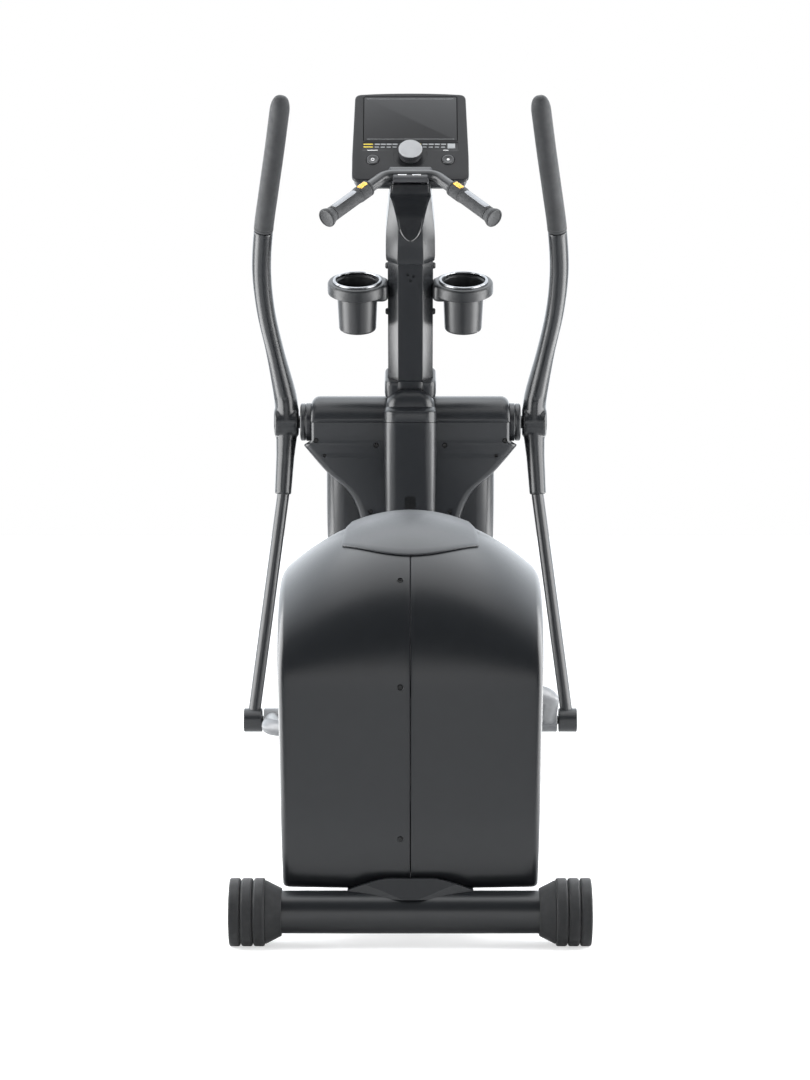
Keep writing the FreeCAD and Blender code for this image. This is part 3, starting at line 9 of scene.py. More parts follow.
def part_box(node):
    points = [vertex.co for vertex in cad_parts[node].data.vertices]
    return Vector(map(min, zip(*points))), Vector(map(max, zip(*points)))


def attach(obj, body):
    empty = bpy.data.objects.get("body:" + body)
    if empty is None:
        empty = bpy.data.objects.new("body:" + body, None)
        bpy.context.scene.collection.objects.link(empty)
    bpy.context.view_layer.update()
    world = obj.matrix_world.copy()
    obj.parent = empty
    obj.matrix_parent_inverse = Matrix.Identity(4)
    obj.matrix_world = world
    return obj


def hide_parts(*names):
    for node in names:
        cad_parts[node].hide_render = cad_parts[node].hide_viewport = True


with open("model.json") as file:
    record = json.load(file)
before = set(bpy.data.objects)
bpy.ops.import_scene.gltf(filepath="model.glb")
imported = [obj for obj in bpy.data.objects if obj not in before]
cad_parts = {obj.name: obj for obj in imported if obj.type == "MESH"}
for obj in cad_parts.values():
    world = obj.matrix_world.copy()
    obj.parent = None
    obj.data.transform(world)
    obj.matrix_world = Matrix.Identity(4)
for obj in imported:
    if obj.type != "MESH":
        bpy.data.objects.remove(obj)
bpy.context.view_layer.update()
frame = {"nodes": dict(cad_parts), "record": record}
nodes = frame["nodes"]

# The trainer stands on the floor at Z 0. +Y is forward and +X the user's right. Sizes are in metres.
HOUSE_LOW, HOUSE_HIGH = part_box("housing_right")
REAR = HOUSE_LOW.y
HALF = HOUSE_HIGH.x
MAST_AT, MAST_LEAN = Vector((0, 0.434, 1.020)), math.radians(23)
FACE_AT, FACE_TURN = Vector((0, 0.110, 1.484)), math.radians(54.3)
PIVOT = Vector((0, 0.444, 0.946))


# ------------------------------------------------------------------ mesh helpers
def piece(name, verts, faces):
    """A new mesh object in the shared frame."""
    mesh = bpy.data.meshes.new(name)
    mesh.from_pydata([tuple(v) for v in verts], [], faces)
    mesh.validate()
    obj = bpy.data.objects.new(name, mesh)
    bpy.context.scene.collection.objects.link(obj)
    return obj


def outward(obj):
    """Turn every face so that its normal points out."""
    work = bmesh.new()
    work.from_mesh(obj.data)
    bmesh.ops.recalc_face_normals(work, faces=work.faces)
    work.to_mesh(obj.data)
    work.free()
    return obj


def strips(rings, count, closed=False):
    """The quads between neighbouring rings of count points; closed joins the last to the first."""
    faces = []
    for i in range(rings if closed else rings - 1):
        a, b = i * count, ((i + 1) % rings) * count
        for j in range(count):
            k = (j + 1) % count
            faces.append((a + j, a + k, b + k, b + j))
    return faces


def loft(name, rings, closed=False):
    """A skin over rings of equal length, with flat ends unless it is closed on itself."""
    count = len(rings[0])
    verts = [p for ring in rings for p in ring]
    faces = strips(len(rings), count, closed)
    if not closed:
        faces.append(tuple(range(count))[::-1])
        last = (len(rings) - 1) * count
        faces.append(tuple(range(last, last + count)))
    return outward(piece(name, verts, faces))


def eased(points, radius, steps=4):
    """A closed flat outline with rounded corners; radius is one number or one per point."""
    result = []
    count = len(points)
    for i, spot in enumerate(points):
        r = radius[i] if isinstance(radius, (list, tuple)) else radius
        here = Vector(spot)
        if r <= 0:
            result.append(here)
            continue
        back = Vector(points[i - 1]) - here
        ahead = Vector(points[(i + 1) % count]) - here
        near = min(back.length, ahead.length) * 0.49
        back.normalize()
        ahead.normalize()
        half = back.angle(ahead, math.pi) / 2
        reach = min(r / max(math.tan(half), 1e-6), near)
        for k in range(steps + 1):
            t = k / steps
            a, b = here + back * reach, here + ahead * reach
            result.append(a * (1 - t) ** 2 + here * (2 * t * (1 - t)) + b * t ** 2)
    return result


def lathe(name, profile, place, radius=0.0, steps=72):
    """Turn a closed (radius, along) outline about local Z, then stand it by a matrix."""
    outline = eased([(r, a) for r, a in profile], radius, 3)
    rings = []
    for i in range(steps):
        angle = 2 * math.pi * i / steps
        c, s = math.cos(angle), math.sin(angle)
        rings.append([place @ Vector((p.x * c, p.x * s, p.y)) for p in outline])
    return weld(loft(name, rings, True))


def weld(obj, gap=1e-6):
    """Join points that meet, and drop the faces that this empties."""
    work = bmesh.new()
    work.from_mesh(obj.data)
    bmesh.ops.remove_doubles(work, verts=work.verts, dist=gap)
    bmesh.ops.dissolve_degenerate(work, edges=work.edges, dist=gap)
    bmesh.ops.recalc_face_normals(work, faces=work.faces)
    work.to_mesh(obj.data)
    work.free()
    return obj


def standing(origin, lean):
    """A frame that leans about X."""
    return Matrix.Translation(origin) @ Matrix.Rotation(lean, 4, "X")


def along_x(at):
    """A frame whose Z runs along +X."""
    return Matrix.Translation(at) @ Matrix.Rotation(math.radians(90), 4, "Y")


def pointing(at, direction):
    """A frame whose Z points in a direction."""
    return Matrix.Translation(at) @ Vector(direction).to_track_quat("Z", "Y").to_matrix().to_4x4()


def oval(half_x, half_y, corner, steps=6, middle=(0, 0)):
    """A rounded rectangle's points, anticlockwise from its right side."""
    corner = min(corner, half_x * 0.999, half_y * 0.999)
    points = []
    for quarter, (sx, sy) in enumerate(((1, 1), (-1, 1), (-1, -1), (1, -1))):
        cx, cy = middle[0] + sx * (half_x - corner), middle[1] + sy * (half_y - corner)
        for k in range(steps + 1):
            angle = math.pi / 2 * (quarter + k / steps)
            points.append((cx + corner * math.cos(angle), cy + corner * math.sin(angle)))
    return points


def smooth_line(points, share):
    """A point on the smooth curve through points; share runs from 0 to 1."""
    spans = len(points) - 1
    t = min(max(share, 0.0), 1.0) * spans
    i = min(int(t), spans - 1)
    t -= i
    p = [Vector(points[min(max(i + k, 0), spans)]) for k in (-1, 0, 1, 2)]
    if i == 0:
        p[0] = p[1] * 2 - p[2]
    if i == spans - 1:
        p[3] = p[2] * 2 - p[1]
    a = p[1] * 2
    b = (p[2] - p[0]) * t
    c = (p[0] * 2 - p[1] * 5 + p[2] * 4 - p[3]) * t * t
    e = (p[1] * 3 - p[0] - p[2] * 3 + p[3]) * t ** 3
    return (a + b + c + e) * 0.5


def carve(obj, *cutters):
    """Cut the cutters' volumes out of a piece, and remove them."""
    for cutter in cutters:
        tool = obj.modifiers.new("carve", "BOOLEAN")
        tool.operation = "DIFFERENCE"
        tool.solver = "MANIFOLD"
        tool.object = cutter
    apply_all(obj)
    for cutter in cutters:
        bpy.data.objects.remove(cutter)
    return obj


def apply_all(obj):
    """Turn a piece's modifiers into its own mesh."""
    bpy.context.view_layer.update()
    graph = bpy.context.evaluated_depsgraph_get()
    mesh = bpy.data.meshes.new_from_object(obj.evaluated_get(graph))
    obj.modifiers.clear()
    obj.data = mesh
    return obj


def soften(obj, width, segments=2, angle=35):
    """Round a piece's sharp edges."""
    edge = obj.modifiers.new("soften", "BEVEL")
    edge.width = width
    edge.segments = segments
    edge.limit_method = "ANGLE"
    edge.angle_limit = math.radians(angle)
    return obj


def thicken(obj, thickness):
    """Give an open skin a wall on its inner side."""
    wall = obj.modifiers.new("wall", "SOLIDIFY")
    wall.thickness = thickness
    wall.offset = -1
    wall.use_even_offset = True
    return apply_all(obj)


def shade(obj, angle=35):
    """Smooth shading with creases where faces turn sharply."""
    obj.data.polygons.foreach_set("use_smooth", [True] * len(obj.data.polygons))
    obj.data.set_sharp_from_angle(angle=math.radians(angle))
    return obj


def block(name, low, high, radius=0.002, steps=3, place=None):
    """A block with rounded edges all round, drawn between two corners."""
    lo, hi = Vector(low), Vector(high)
    mid, half = (lo + hi) / 2, (hi - lo) / 2
    radius = min(radius, min(half) * 0.98)
    rings = []
    for k in range(steps + 1):
        angle = math.pi / 2 * k / steps
        inset, rise = radius * (1 - math.sin(angle)), radius * (1 - math.cos(angle))
        outline = oval(half.x - inset, half.y - inset, max(radius - inset, 1e-5) + radius, 4, (mid.x, mid.y))
        rings.append([Vector((x, y, lo.z + rise)) for x, y in outline])
    for ring in rings[::-1]:
        rings.append([Vector((p.x, p.y, lo.z + hi.z - p.z)) for p in ring])
    if place is not None:
        rings = [[place @ p for p in ring] for ring in rings]
    return loft(name, rings)


def copy_across(obj, name):
    """The same piece on the other side of the middle plane."""
    twin = obj.copy()
    twin.data = obj.data.copy()
    twin.name = name
    bpy.context.scene.collection.objects.link(twin)
    twin.data.transform(Matrix.Scale(-1, 4, (1, 0, 0)))
    twin.data.flip_normals()
    return twin


def settle(obj, slot, replaced="", angle=35, body="root", finish=None):
    """Shade a piece, give it its finish (the slot's own if none is named), attach it to its body and hide the
    part that it replaces.
    """
    shade(obj, angle)
    obj.data.materials.clear()
    obj.data.materials.append(FINISH[finish or slot])
    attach(obj, body)
    if replaced:
        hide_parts(replaced)


def settle_pair(right, left_name, slot, replaced=("", ""), angle=35, bodies=("root", "root"), finish=None):
    """Settle a right-hand piece and its mirrored copy."""
    left = copy_across(right, left_name)
    settle(right, slot, replaced[0], angle, bodies[0], finish)
    settle(left, slot, replaced[1], angle, bodies[1], finish)


# ------------------------------------------------------------------ materials
class Finish:
    """A material's node tree, with short ways to add what its surface shows."""

    def __init__(self, name, color, roughness, metallic=0.0):
        self.material = bpy.data.materials.new(name)
        self.material.use_nodes = True
        self.tree = self.material.node_tree
        self.shader = self.tree.nodes["Principled BSDF"]
        self.shader.inputs["Base Color"].default_value = (*color, 1)
        self.shader.inputs["Roughness"].default_value = roughness
        self.shader.inputs["Metallic"].default_value = metallic
        self.color = color
        self.roughness = roughness
        self.where = self.add("ShaderNodeTexCoord").outputs["Object"]
        self.heights = []

    def add(self, kind, **values):
        made = self.tree.nodes.new(kind)
        for word, value in values.items():
            setattr(made, word, value)
        return made

    def join(self, source, target):
        self.tree.links.new(source, target)

    def set(self, **values):
        for word, value in values.items():
            self.shader.inputs[word.replace("_", " ")].default_value = value
        return self

    def noise(self, scale, detail=3.0, stretch=None):
        where = self.where
        if stretch is not None:
            mapping = self.add("ShaderNodeMapping")
            mapping.inputs["Scale"].default_value = stretch
            self.join(where, mapping.inputs["Vector"])
            where = mapping.outputs["Vector"]
        made = self.add("ShaderNodeTexNoise")
        made.inputs["Scale"].default_value = scale
        made.inputs["Detail"].default_value = detail
        self.join(where, made.inputs["Vector"])
        return made.outputs["Fac"]

    def cells(self, scale):
        made = self.add("ShaderNodeTexVoronoi", feature="SMOOTH_F1")
        made.inputs["Scale"].default_value = scale
        self.join(self.where, made.inputs["Vector"])
        return made.outputs["Distance"]

    def spread(self, source, low, high):
        made = self.add("ShaderNodeMapRange")
        made.inputs["From Min"].default_value = 0.3
        made.inputs["From Max"].default_value = 0.7
        made.inputs["To Min"].default_value = low
        made.inputs["To Max"].default_value = high
        self.join(source, made.inputs["Value"])
        return made.outputs["Result"]

    def vary_roughness(self, source, amount):
        out = self.spread(source, self.roughness - amount, self.roughness + amount)
        self.join(out, self.shader.inputs["Roughness"])
        return self

    def vary_color(self, source, amount):
        mix = self.add("ShaderNodeMix", data_type="RGBA")
        mix.inputs["A"].default_value = (*[c * (1 - amount) for c in self.color], 1)
        mix.inputs["B"].default_value = (*[min(1.0, c * (1 + amount)) for c in self.color], 1)
        self.join(self.spread(source, 0, 1), mix.inputs["Factor"])
        self.join(mix.outputs["Result"], self.shader.inputs["Base Color"])
        return self

    def relief(self, source, distance, strength):
        """Add one bump; later ones stack on earlier ones."""
        bump = self.add("ShaderNodeBump")
        bump.inputs["Distance"].default_value = distance
        bump.inputs["Strength"].default_value = strength
        self.join(source, bump.inputs["Height"])
        if self.heights:
            self.join(self.heights[-1], bump.inputs["Normal"])
        self.heights.append(bump.outputs["Normal"])
        self.join(self.heights[-1], self.shader.inputs["Normal"])
        return self


def moulded(name, color, roughness, grain=1400, depth=0.00005, wander=0.012, index=1.5):
    """Injection-moulded plastic: spark-eroded grain, faint flow marks and handling sheen."""
    made = Finish(name, color, roughness)
    made.set(IOR=index)
    made.vary_color(made.noise(40, 4), 0.07)
    made.vary_roughness(made.noise(120, 5), wander)
    made.relief(made.cells(grain), depth, 0.55)
    made.relief(made.noise(5, 2), 0.0008, 0.04)
    return made.material


def powder_coat(name, color, roughness):
    """Powder-coated steel: fine orange peel under a satin skin."""
    made = Finish(name, color, roughness)
    made.set(Coat_Weight=0.14, Coat_Roughness=0.25)
    made.vary_color(made.noise(60, 4), 0.06)
    made.vary_roughness(made.noise(160, 4), 0.012)
    made.relief(made.noise(900, 2), 0.00008, 0.5)
    return made.material


def rubber(name, color):
    """Moulded rubber: a dry matte skin with bloom and fine pebbling."""
    made = Finish(name, color, 0.72)
    made.set(IOR=1.46, Sheen_Weight=0.12, Sheen_Roughness=0.5)
    made.vary_color(made.noise(30, 5), 0.18)
    made.vary_roughness(made.noise(80, 4), 0.07)
    made.relief(made.cells(2200), 0.00012, 0.7)
    return made.material


def metal(name, color, roughness, stretch=(1, 1, 60), scale=120):
    """Brushed or turned metal with its lay along one direction."""
    made = Finish(name, color, roughness, 1.0)
    made.vary_color(made.noise(25, 3), 0.05)
    made.vary_roughness(made.noise(scale, 3, stretch), 0.08)
    made.relief(made.noise(scale * 3, 2, stretch), 0.00002, 0.5)
    return made.material


def make_finishes():
    """Every finish by the record's slot name, and a few that only single pieces use."""
    recipes = {
        "charcoal_plastic": (moulded, (0.0085, 0.0095, 0.0112), 0.3),
        "gloss_plastic": (moulded, (0.006, 0.0066, 0.0076), 0.17, 2600, 0.00001, 0.03),
        "rubber": (rubber, (0.0105, 0.011, 0.012)),
        "frame_paint": (powder_coat, (0.0095, 0.0105, 0.0122), 0.32),
        "link_paint": (powder_coat, (0.10, 0.103, 0.108), 0.36),
        "pedal_plastic": (moulded, (0.012, 0.013, 0.0145), 0.42, 900, 0.0001),
        "steel": (metal, (0.52, 0.52, 0.54), 0.32),
        "flywheel_iron": (metal, (0.17, 0.17, 0.175), 0.48, (60, 1, 1)),
        "pulley_plastic": (moulded, (0.05, 0.05, 0.053), 0.5),
        "bright_plate": (metal, (0.20, 0.205, 0.215), 0.36, (40, 40, 1), 160),
        "silver_plastic": (moulded, (0.27, 0.275, 0.285), 0.4, 2600, 0.00002),
        "button_black": (moulded, (0.02, 0.021, 0.023), 0.3, 2600, 0.00002),
        "button_yellow": (moulded, (0.80, 0.42, 0.035), 0.38, 1800, 0.00003),
        "circuit_board": (moulded, (0.012, 0.09, 0.03), 0.35, 700, 0.0001),
        "screen_glass": (moulded, (0.006, 0.0065, 0.008), 0.16, 3000, 0.000002, 0.01, 1.40),
        # The cap's finish is the shells' charcoal plastic made lighter: painted light for the bright
        # surroundings that its upward face reflects.
        "cap_plastic": (moulded, (0.028, 0.030, 0.033), 0.40),
        "mast_paint": (powder_coat, (0.0105, 0.0115, 0.013), 0.26),
        "neck_plastic": (moulded, (0.011, 0.012, 0.0135), 0.30),
        "cup_plastic": (moulded, (0.009, 0.0098, 0.011), 0.36),
        "fascia_plastic": (moulded, (0.010, 0.0105, 0.012), 0.36, 1400, 0.00005, 0.012, 1.36),
        "knob_plastic": (moulded, (0.03, 0.031, 0.034), 0.34, 2600, 0.00002),
        "arm_plastic": (moulded, (0.009, 0.010, 0.0115), 0.26),
        "grip_rubber": (rubber, (0.0125, 0.0135, 0.015)),
        "pad_plastic": (moulded, (0.022, 0.023, 0.026), 0.38),
        # The screws' near-black, darker than black plastic, is partly painted shade for the wells that most
        # of them sit in.
        "black_bolt": (moulded, (0.004, 0.0042, 0.0046), 0.5),
        "chrome_rim": (metal, (0.27, 0.275, 0.285), 0.28),
        "grey_print": (moulded, (0.28, 0.29, 0.30), 0.45, 2600, 0.00001),
        "yellow_print": (moulded, (0.55, 0.42, 0.03), 0.45, 2600, 0.00001),
        "white_print": (moulded, (0.75, 0.75, 0.75), 0.45, 2600, 0.00001),
    }
    return {name: maker(name, *values) for name, (maker, *values) in recipes.items()}


FINISH = make_finishes()
for row in frame["record"]["subparts"]:
    target = nodes[row["node"]]
    target.data.materials.clear()
    target.data.materials.append(FINISH[row["material_slot"]])


# ------------------------------------------------------------------ camera, light and floor
def make_camera():
    data = bpy.data.cameras.new("camera")
    data.lens = 87.99
    data.sensor_width = 36
    data.shift_x = -0.005
    data.clip_end = 200
    camera = bpy.data.objects.new("camera", data)
    camera.location = (0, -5.769, 0.9864)
    camera.rotation_euler = (math.radians(90 - 2.932), 0, 0)
    bpy.context.scene.collection.objects.link(camera)
    bpy.context.scene.camera = camera


def softbox(name, at, towards, wide, tall, power):
    """A rectangular area light that the camera doesn't see."""
    data = bpy.data.lights.new(name, "AREA")
    data.shape = "RECTANGLE"
    data.size = wide
    data.size_y = tall
    data.energy = power
    lamp = bpy.data.objects.new(name, data)
    lamp.location = at
    lamp.rotation_euler = (Vector(towards) - Vector(at)).to_track_quat("-Z", "Y").to_euler()
    lamp.visible_camera = False
    bpy.context.scene.collection.objects.link(lamp)


CAMERA_SIDE_FILL, FAR_SIDE_FILL = 0.10, 2.3


def make_light():
    """A white studio: boxes above, beside and behind the camera, and two on the floor that shine up.

    The backdrop is white to the camera. Its light is strong from beyond the machine and faint from behind
    the camera.
    """
    scene = bpy.context.scene
    scene.view_settings.view_transform = "Standard"
    world = bpy.data.worlds.new("studio")
    world.use_nodes = True
    scene.world = world
    tree = world.node_tree
    seen = tree.nodes["Background"]
    seen.inputs["Color"].default_value = (1, 1, 1, 1)
    lit = tree.nodes.new("ShaderNodeBackground")
    lit.inputs["Color"].default_value = (0.90, 0.95, 1.0, 1)
    facing = tree.nodes.new("ShaderNodeSeparateXYZ")
    tree.links.new(tree.nodes.new("ShaderNodeTexCoord").outputs["Generated"], facing.inputs["Vector"])
    fade = tree.nodes.new("ShaderNodeMapRange")
    fade.inputs["From Min"].default_value = -0.35
    fade.inputs["From Max"].default_value = 0.35
    fade.inputs["To Min"].default_value = CAMERA_SIDE_FILL
    fade.inputs["To Max"].default_value = FAR_SIDE_FILL
    tree.links.new(facing.outputs["Y"], fade.inputs["Value"])
    tree.links.new(fade.outputs["Result"], lit.inputs["Strength"])
    path = tree.nodes.new("ShaderNodeLightPath")
    mix = tree.nodes.new("ShaderNodeMixShader")
    tree.links.new(path.outputs["Is Camera Ray"], mix.inputs["Fac"])
    tree.links.new(lit.outputs["Background"], mix.inputs[1])
    tree.links.new(seen.outputs["Background"], mix.inputs[2])
    tree.links.new(mix.outputs["Shader"], tree.nodes["World Output"].inputs["Surface"])
    softbox("top_box", (0, -0.3, 3.4), (0, -0.3, 0), 3.0, 3.6, 58)
    softbox("front_box", (0, -8.0, 0.8), (0, 0, 0.8), 6.0, 2.4, 70)
    softbox("right_box", (2.3, -0.5, 1.25), (0, -0.3, 1.1), 2.8, 2.4, 150)
    for word, side in (("right", 1), ("left", -1)):
        softbox(word + "_low_box", (side * 2.15, 1.3, 0.02), (side * 2.15, 1.3, 1.0), 1.5, 3.0, 85)
    softbox("left_box", (-2.3, -0.5, 1.25), (0, -0.3, 1.1), 2.8, 2.4, 165)


def make_floor():
    """A pale paper floor; its glow is stronger for the camera than for what it lights."""
    size = 14.0
    floor = piece("floor", [(-size, -size, 0), (size, -size, 0), (size, size, 0), (-size, size, 0)],
                  [(0, 1, 2, 3)])
    made = Finish("floor_paper", (0.55, 0.55, 0.55), 0.85)
    made.vary_roughness(made.noise(30, 3), 0.04)
    made.shader.inputs["Emission Color"].default_value = (1, 1, 1, 1)
    path = made.add("ShaderNodeLightPath")
    glow = made.add("ShaderNodeMapRange")
    glow.inputs["To Min"].default_value = 0.06
    glow.inputs["To Max"].default_value = 0.60
    made.join(path.outputs["Is Camera Ray"], glow.inputs["Value"])
    made.join(glow.outputs["Result"], made.shader.inputs["Emission Strength"])
    floor.data.materials.append(made.material)


# ------------------------------------------------------------------ rear housing
WAIST, CREST, CROWN, ROUND = 0.474, 0.300, 0.110, 0.013
HOUSE_FRONT, HOUSE_FLOOR, LEAN_IN = 0.650, HOUSE_LOW.z, 0.09
SKIN = 0.004


def oval_quarter(start, corner, end, share):
    """A point on the quarter oval that leaves start and reaches end, bulging to the corner."""
    pull = 0.5523
    poles = (start, start + (corner - start) * pull, end + (corner - end) * pull, end)
    back = 1 - share
    weights = (back ** 3, 3 * back ** 2 * share, 3 * back * share ** 2, share ** 3)
    return sum((pole * weight for pole, weight in zip(poles, weights)), Vector((0, 0)))


def oval_spot(start, corner, end, axis, goal):
    """The point of a quarter oval whose coordinate along an axis rises to a goal."""
    low, high = 0.0, 1.0
    for _ in range(40):
        share = (low + high) / 2
        spot = oval_quarter(start, corner, end, share)
        low, high = (share, high) if spot[axis] < goal else (low, share)
    return spot


def housing_frame(across):
    """The side outline's key lines at one distance from the middle."""
    edge = max(0.0, across - (HALF - ROUND)) / ROUND
    shrink = ROUND * (1 - math.sqrt(max(0.0, 1 - edge * edge)))
    drawn = (across / HALF) ** 2
    bow = 0.014 * drawn
    rear, front = REAR + shrink + bow, REAR + HOUSE_FRONT - shrink - bow
    rise = CREST - CROWN * drawn - shrink
    run = CREST - shrink - bow
    floor = HOUSE_FLOOR + 0.45 * shrink
    return rear, front, rise, run, floor


def housing_ring(across, sink=0.0):
    """One closed side outline, sunk inwards a little where a seam or an edge needs it."""
    rear, front, rise, run, floor = housing_frame(across)
    rear, front, rise, floor = rear + sink, front - sink, rise - sink, floor + sink
    corner = 0.014
    flat = []

    def bulge(start, middle, end, steps):
        for k in range(steps):
            flat.append(oval_quarter(Vector(start), Vector(middle), Vector(end), k / steps))

    def straight(start, end, steps):
        for k in range(steps):
            flat.append(Vector(start).lerp(Vector(end), k / steps))

    top = WAIST + rise
    tuck, climb = 0.026, 0.150
    bulge((rear + tuck, floor), (rear, floor), (rear, floor + climb), 18)
    straight((rear, floor + climb), (rear, WAIST), 12)
    bulge((rear, WAIST), (rear, top), (rear + run, top), 34)
    straight((rear + run, top), (front - run, top), 3)
    bulge((front - run, top), (front, top), (front, WAIST), 34)
    straight((front, WAIST), (front, floor + corner), 14)
    bulge((front, floor + corner), (front, floor), (front - corner, floor), 5)
    straight((front - corner, floor), (rear + tuck, floor), 10)
    return [Vector((across * (1 + LEAN_IN * (p.y - WAIST)), p.x, p.y)) for p in flat]


def skin_at(x, y):
    """The height of the housing's top over a point of the plan."""
    across = abs(x)
    for _ in range(4):
        rear, _, rise, run, _ = housing_frame(across)
        if y < rear + run:
            z = oval_spot(Vector((rear, WAIST)), Vector((rear, WAIST + rise)),
                          Vector((rear + run, WAIST + rise)), 0, y).y
        else:
            z = WAIST + rise
        across = abs(x) / (1 + LEAN_IN * (z - WAIST))
    return z


def skin_point(x, y, proud):
    """A point over the housing's top, moved out square to it."""
    step = 0.002
    slope_x = (skin_at(x + step, y) - skin_at(x - step, y)) / (2 * step)
    slope_y = (skin_at(x, y + step) - skin_at(x, y - step)) / (2 * step)
    normal = Vector((-slope_x, -slope_y, 1)).normalized()
    return Vector((x, y, skin_at(x, y))) + normal * proud


SEAM_SCREWS = (0.195, 0.473, 0.664)
SEAM_SCREW_X = -0.0185


def rear_face(z):
    """Where the rear face stands at a height on the middle plane, leaving out its tuck at the foot."""
    if z <= WAIST:
        return REAR
    return oval_spot(Vector((REAR, WAIST)), Vector((REAR, WAIST + CREST)),
                     Vector((REAR + CREST, WAIST + CREST)), 1, z).x


def rear_facing(z):
    """The rear face's outward direction at a height."""
    step = 0.002
    slope = (rear_face(z + step) - rear_face(z - step)) / (2 * step)
    return Vector((0, -1, slope)).normalized()


def make_housing():
    """The rear housing's two shells, each with a pedal arm's slot and an opening over the frame."""
    flat = HALF - ROUND
    stations = [(0.0004, 0.0030), (0.0006, 0.0012), (0.0012, 0.0004), (0.0022, 0.0)]
    stations += [(0.0022 + (flat - 0.0022) * k / 22, 0.0) for k in range(1, 23)]
    stations += [(flat + ROUND * math.sin(math.pi / 2 * k / 8), 0.0) for k in range(1, 9)]
    rings = [housing_ring(across, sink) for across, sink in stations]
    count = len(rings[0])
    verts = [p for ring in rings for p in ring]
    faces = strips(len(rings), count)
    last = (len(rings) - 1) * count
    faces.append(tuple(range(last, last + count)))
    right = outward(piece("shell_right", verts, faces))
    if right.data.polygons[-1].normal.x < 0:
        right.data.flip_normals()
    thicken(right, SKIN)
    left = copy_across(right, "shell_left")
    pockets = []
    for z in SEAM_SCREWS:
        out = rear_facing(z)
        at = Vector((SEAM_SCREW_X, rear_face(z), z))
        profile = [(0, 0.004), (0.0066, 0.004), (0.0066, 0.0004), (0.0057, -0.0006),
                   (0.0055, -0.0035), (0, -0.0035)]
        pockets.append(lathe("pocket", profile, pointing(at, out), 0, 32))
    front = REAR + HOUSE_FRONT
    for side, shell, low, high, wells in (("right", right, 0.122, 0.178, []),
                                          ("left", left, -0.178, -0.122, pockets)):
        slot = block("slot", (low, front - 0.09, 0.165), (high, front + 0.02, 0.605), 0.016, 5)
        notch = block("notch", (-0.042, REAR + 0.06, 0.06), (0.042, front - 0.04, 0.12), 0.002)
        carve(shell, slot, notch, *wells)
        soften(shell, 0.0008, 2, 50)
        settle(shell, "charcoal_plastic", "housing_" + side, 30)


def make_cap():
    """The domed cap: it stands proud of both shells, with a rounded lip that throws a shadow."""
    half, side_y, rear_y, front_y = 0.128, REAR + 0.175, REAR + 0.110, REAR + 0.470
    wide, deep = 44, 30

    def plan(u, v, inset):
        """A point of the cap's plan; u runs across and v from the bowed rear edge to the front."""
        edge = half - 0.012 * v - inset
        x = u * edge
        sag = (side_y - rear_y) * (x / half) ** 2
        low = rear_y + sag + inset
        return x, low + (front_y - inset - low) * v

    rims = ((0.0030, -0.0004), (0.0012, 0.0), (0.0002, 0.0010),
            (0.0, 0.0022), (0.0006, 0.0034), (0.0020, 0.0040))
    edge_uv = [(-1 + 2 * i / wide, 0) for i in range(wide)] + [(1, j / deep) for j in range(deep)]
    edge_uv += [(1 - 2 * i / wide, 1) for i in range(wide)] + [(-1, 1 - j / deep) for j in range(deep)]
    verts = [skin_point(*plan(u, v, inset), proud) for inset, proud in rims for u, v in edge_uv]
    faces = strips(len(rims), len(edge_uv))
    for (inset, proud), order in ((rims[-1], 1), (rims[0], -1)):
        spot = {}
        for i in range(wide + 1):
            for j in range(deep + 1):
                spot[i, j] = len(verts)
                verts.append(skin_point(*plan(-1 + 2 * i / wide, j / deep, inset), proud))
        for i in range(wide):
            for j in range(deep):
                a, b, c, d = spot[i, j], spot[i + 1, j], spot[i + 1, j + 1], spot[i, j + 1]
                faces.append((a, b, c, d) if order > 0 else (a, d, c, b))
    cap = weld(piece("top_cap", verts, faces), 1e-5)
    # The cap's lighter finish is painted light for what its upward face reflects.
    settle(cap, "charcoal_plastic", "housing_cap", 40, finish="cap_plastic")


def screw_head(name, at, out, radius, height):
    """A button-head screw with a hexagon socket."""
    place = pointing(at, out)
    profile = [(0, -0.004), (radius * 0.45, -0.004), (radius * 0.45, 0), (radius, 0), (radius, height * 0.35),
               (radius * 0.8, height * 0.85), (radius * 0.5, height), (0, height)]
    head = lathe(name, profile, place, 0.0003, 40)
    hexagon = [Vector((radius * 0.5 * math.cos(math.pi * k / 3), radius * 0.5 * math.sin(math.pi * k / 3), 0))
               for k in range(6)]
    rings = [[place @ (p + Vector((0, 0, z))) for p in hexagon] for z in (height * 0.25, height * 1.5)]
    return carve(head, loft("socket", rings))


def make_feet():
    """Rubber end caps: three grooved rings, a cone and a sleeve on the tube, flat where they rest."""
    tube_r, foot_r, ring_wide, cone_wide = 0.039, 0.062, 0.067, 0.028
    axle_z = 0.0612
    for end, y, half in (("rear", REAR, 0.330), ("front", 0.950, 0.300)):
        start = half - ring_wide - cone_wide
        outline = [(tube_r + 0.0002, start), (0.0435, start), (0.0455, start + 0.004),
                   (0.0575, start + cone_wide)]
        step = ring_wide / 3
        for i in range(3):
            base = start + cone_wide + step * i
            outline += [(foot_r - 0.0048, base + 0.0006), (foot_r - 0.0048, base + 0.0022),
                        (foot_r - 0.0012, base + 0.0030), (foot_r, base + 0.0055),
                        (foot_r, base + step - 0.003), (foot_r - 0.0015, base + step - 0.0004)]
        outline += [(foot_r - 0.005, half - 0.0012), (foot_r - 0.008, half), (0.030, half),
                    (0.028, half - 0.0015), (0.0005, half - 0.0015), (0.0005, half - 0.006),
                    (tube_r + 0.0002, half - 0.006)]
        right = lathe(end + "_foot_right", outline, along_x((0, y, axle_z)), 0.0010, 120)
        for vertex in right.data.vertices:
            vertex.co.z = max(vertex.co.z, 0.0)
        replaced = "foot_caps" if end == "rear" else ""
        settle_pair(right, end + "_foot_left", "rubber", (replaced, ""), 32)


# ------------------------------------------------------------------ front tower covers
TEE_HALF, TEE_TOP = 0.232, 0.061


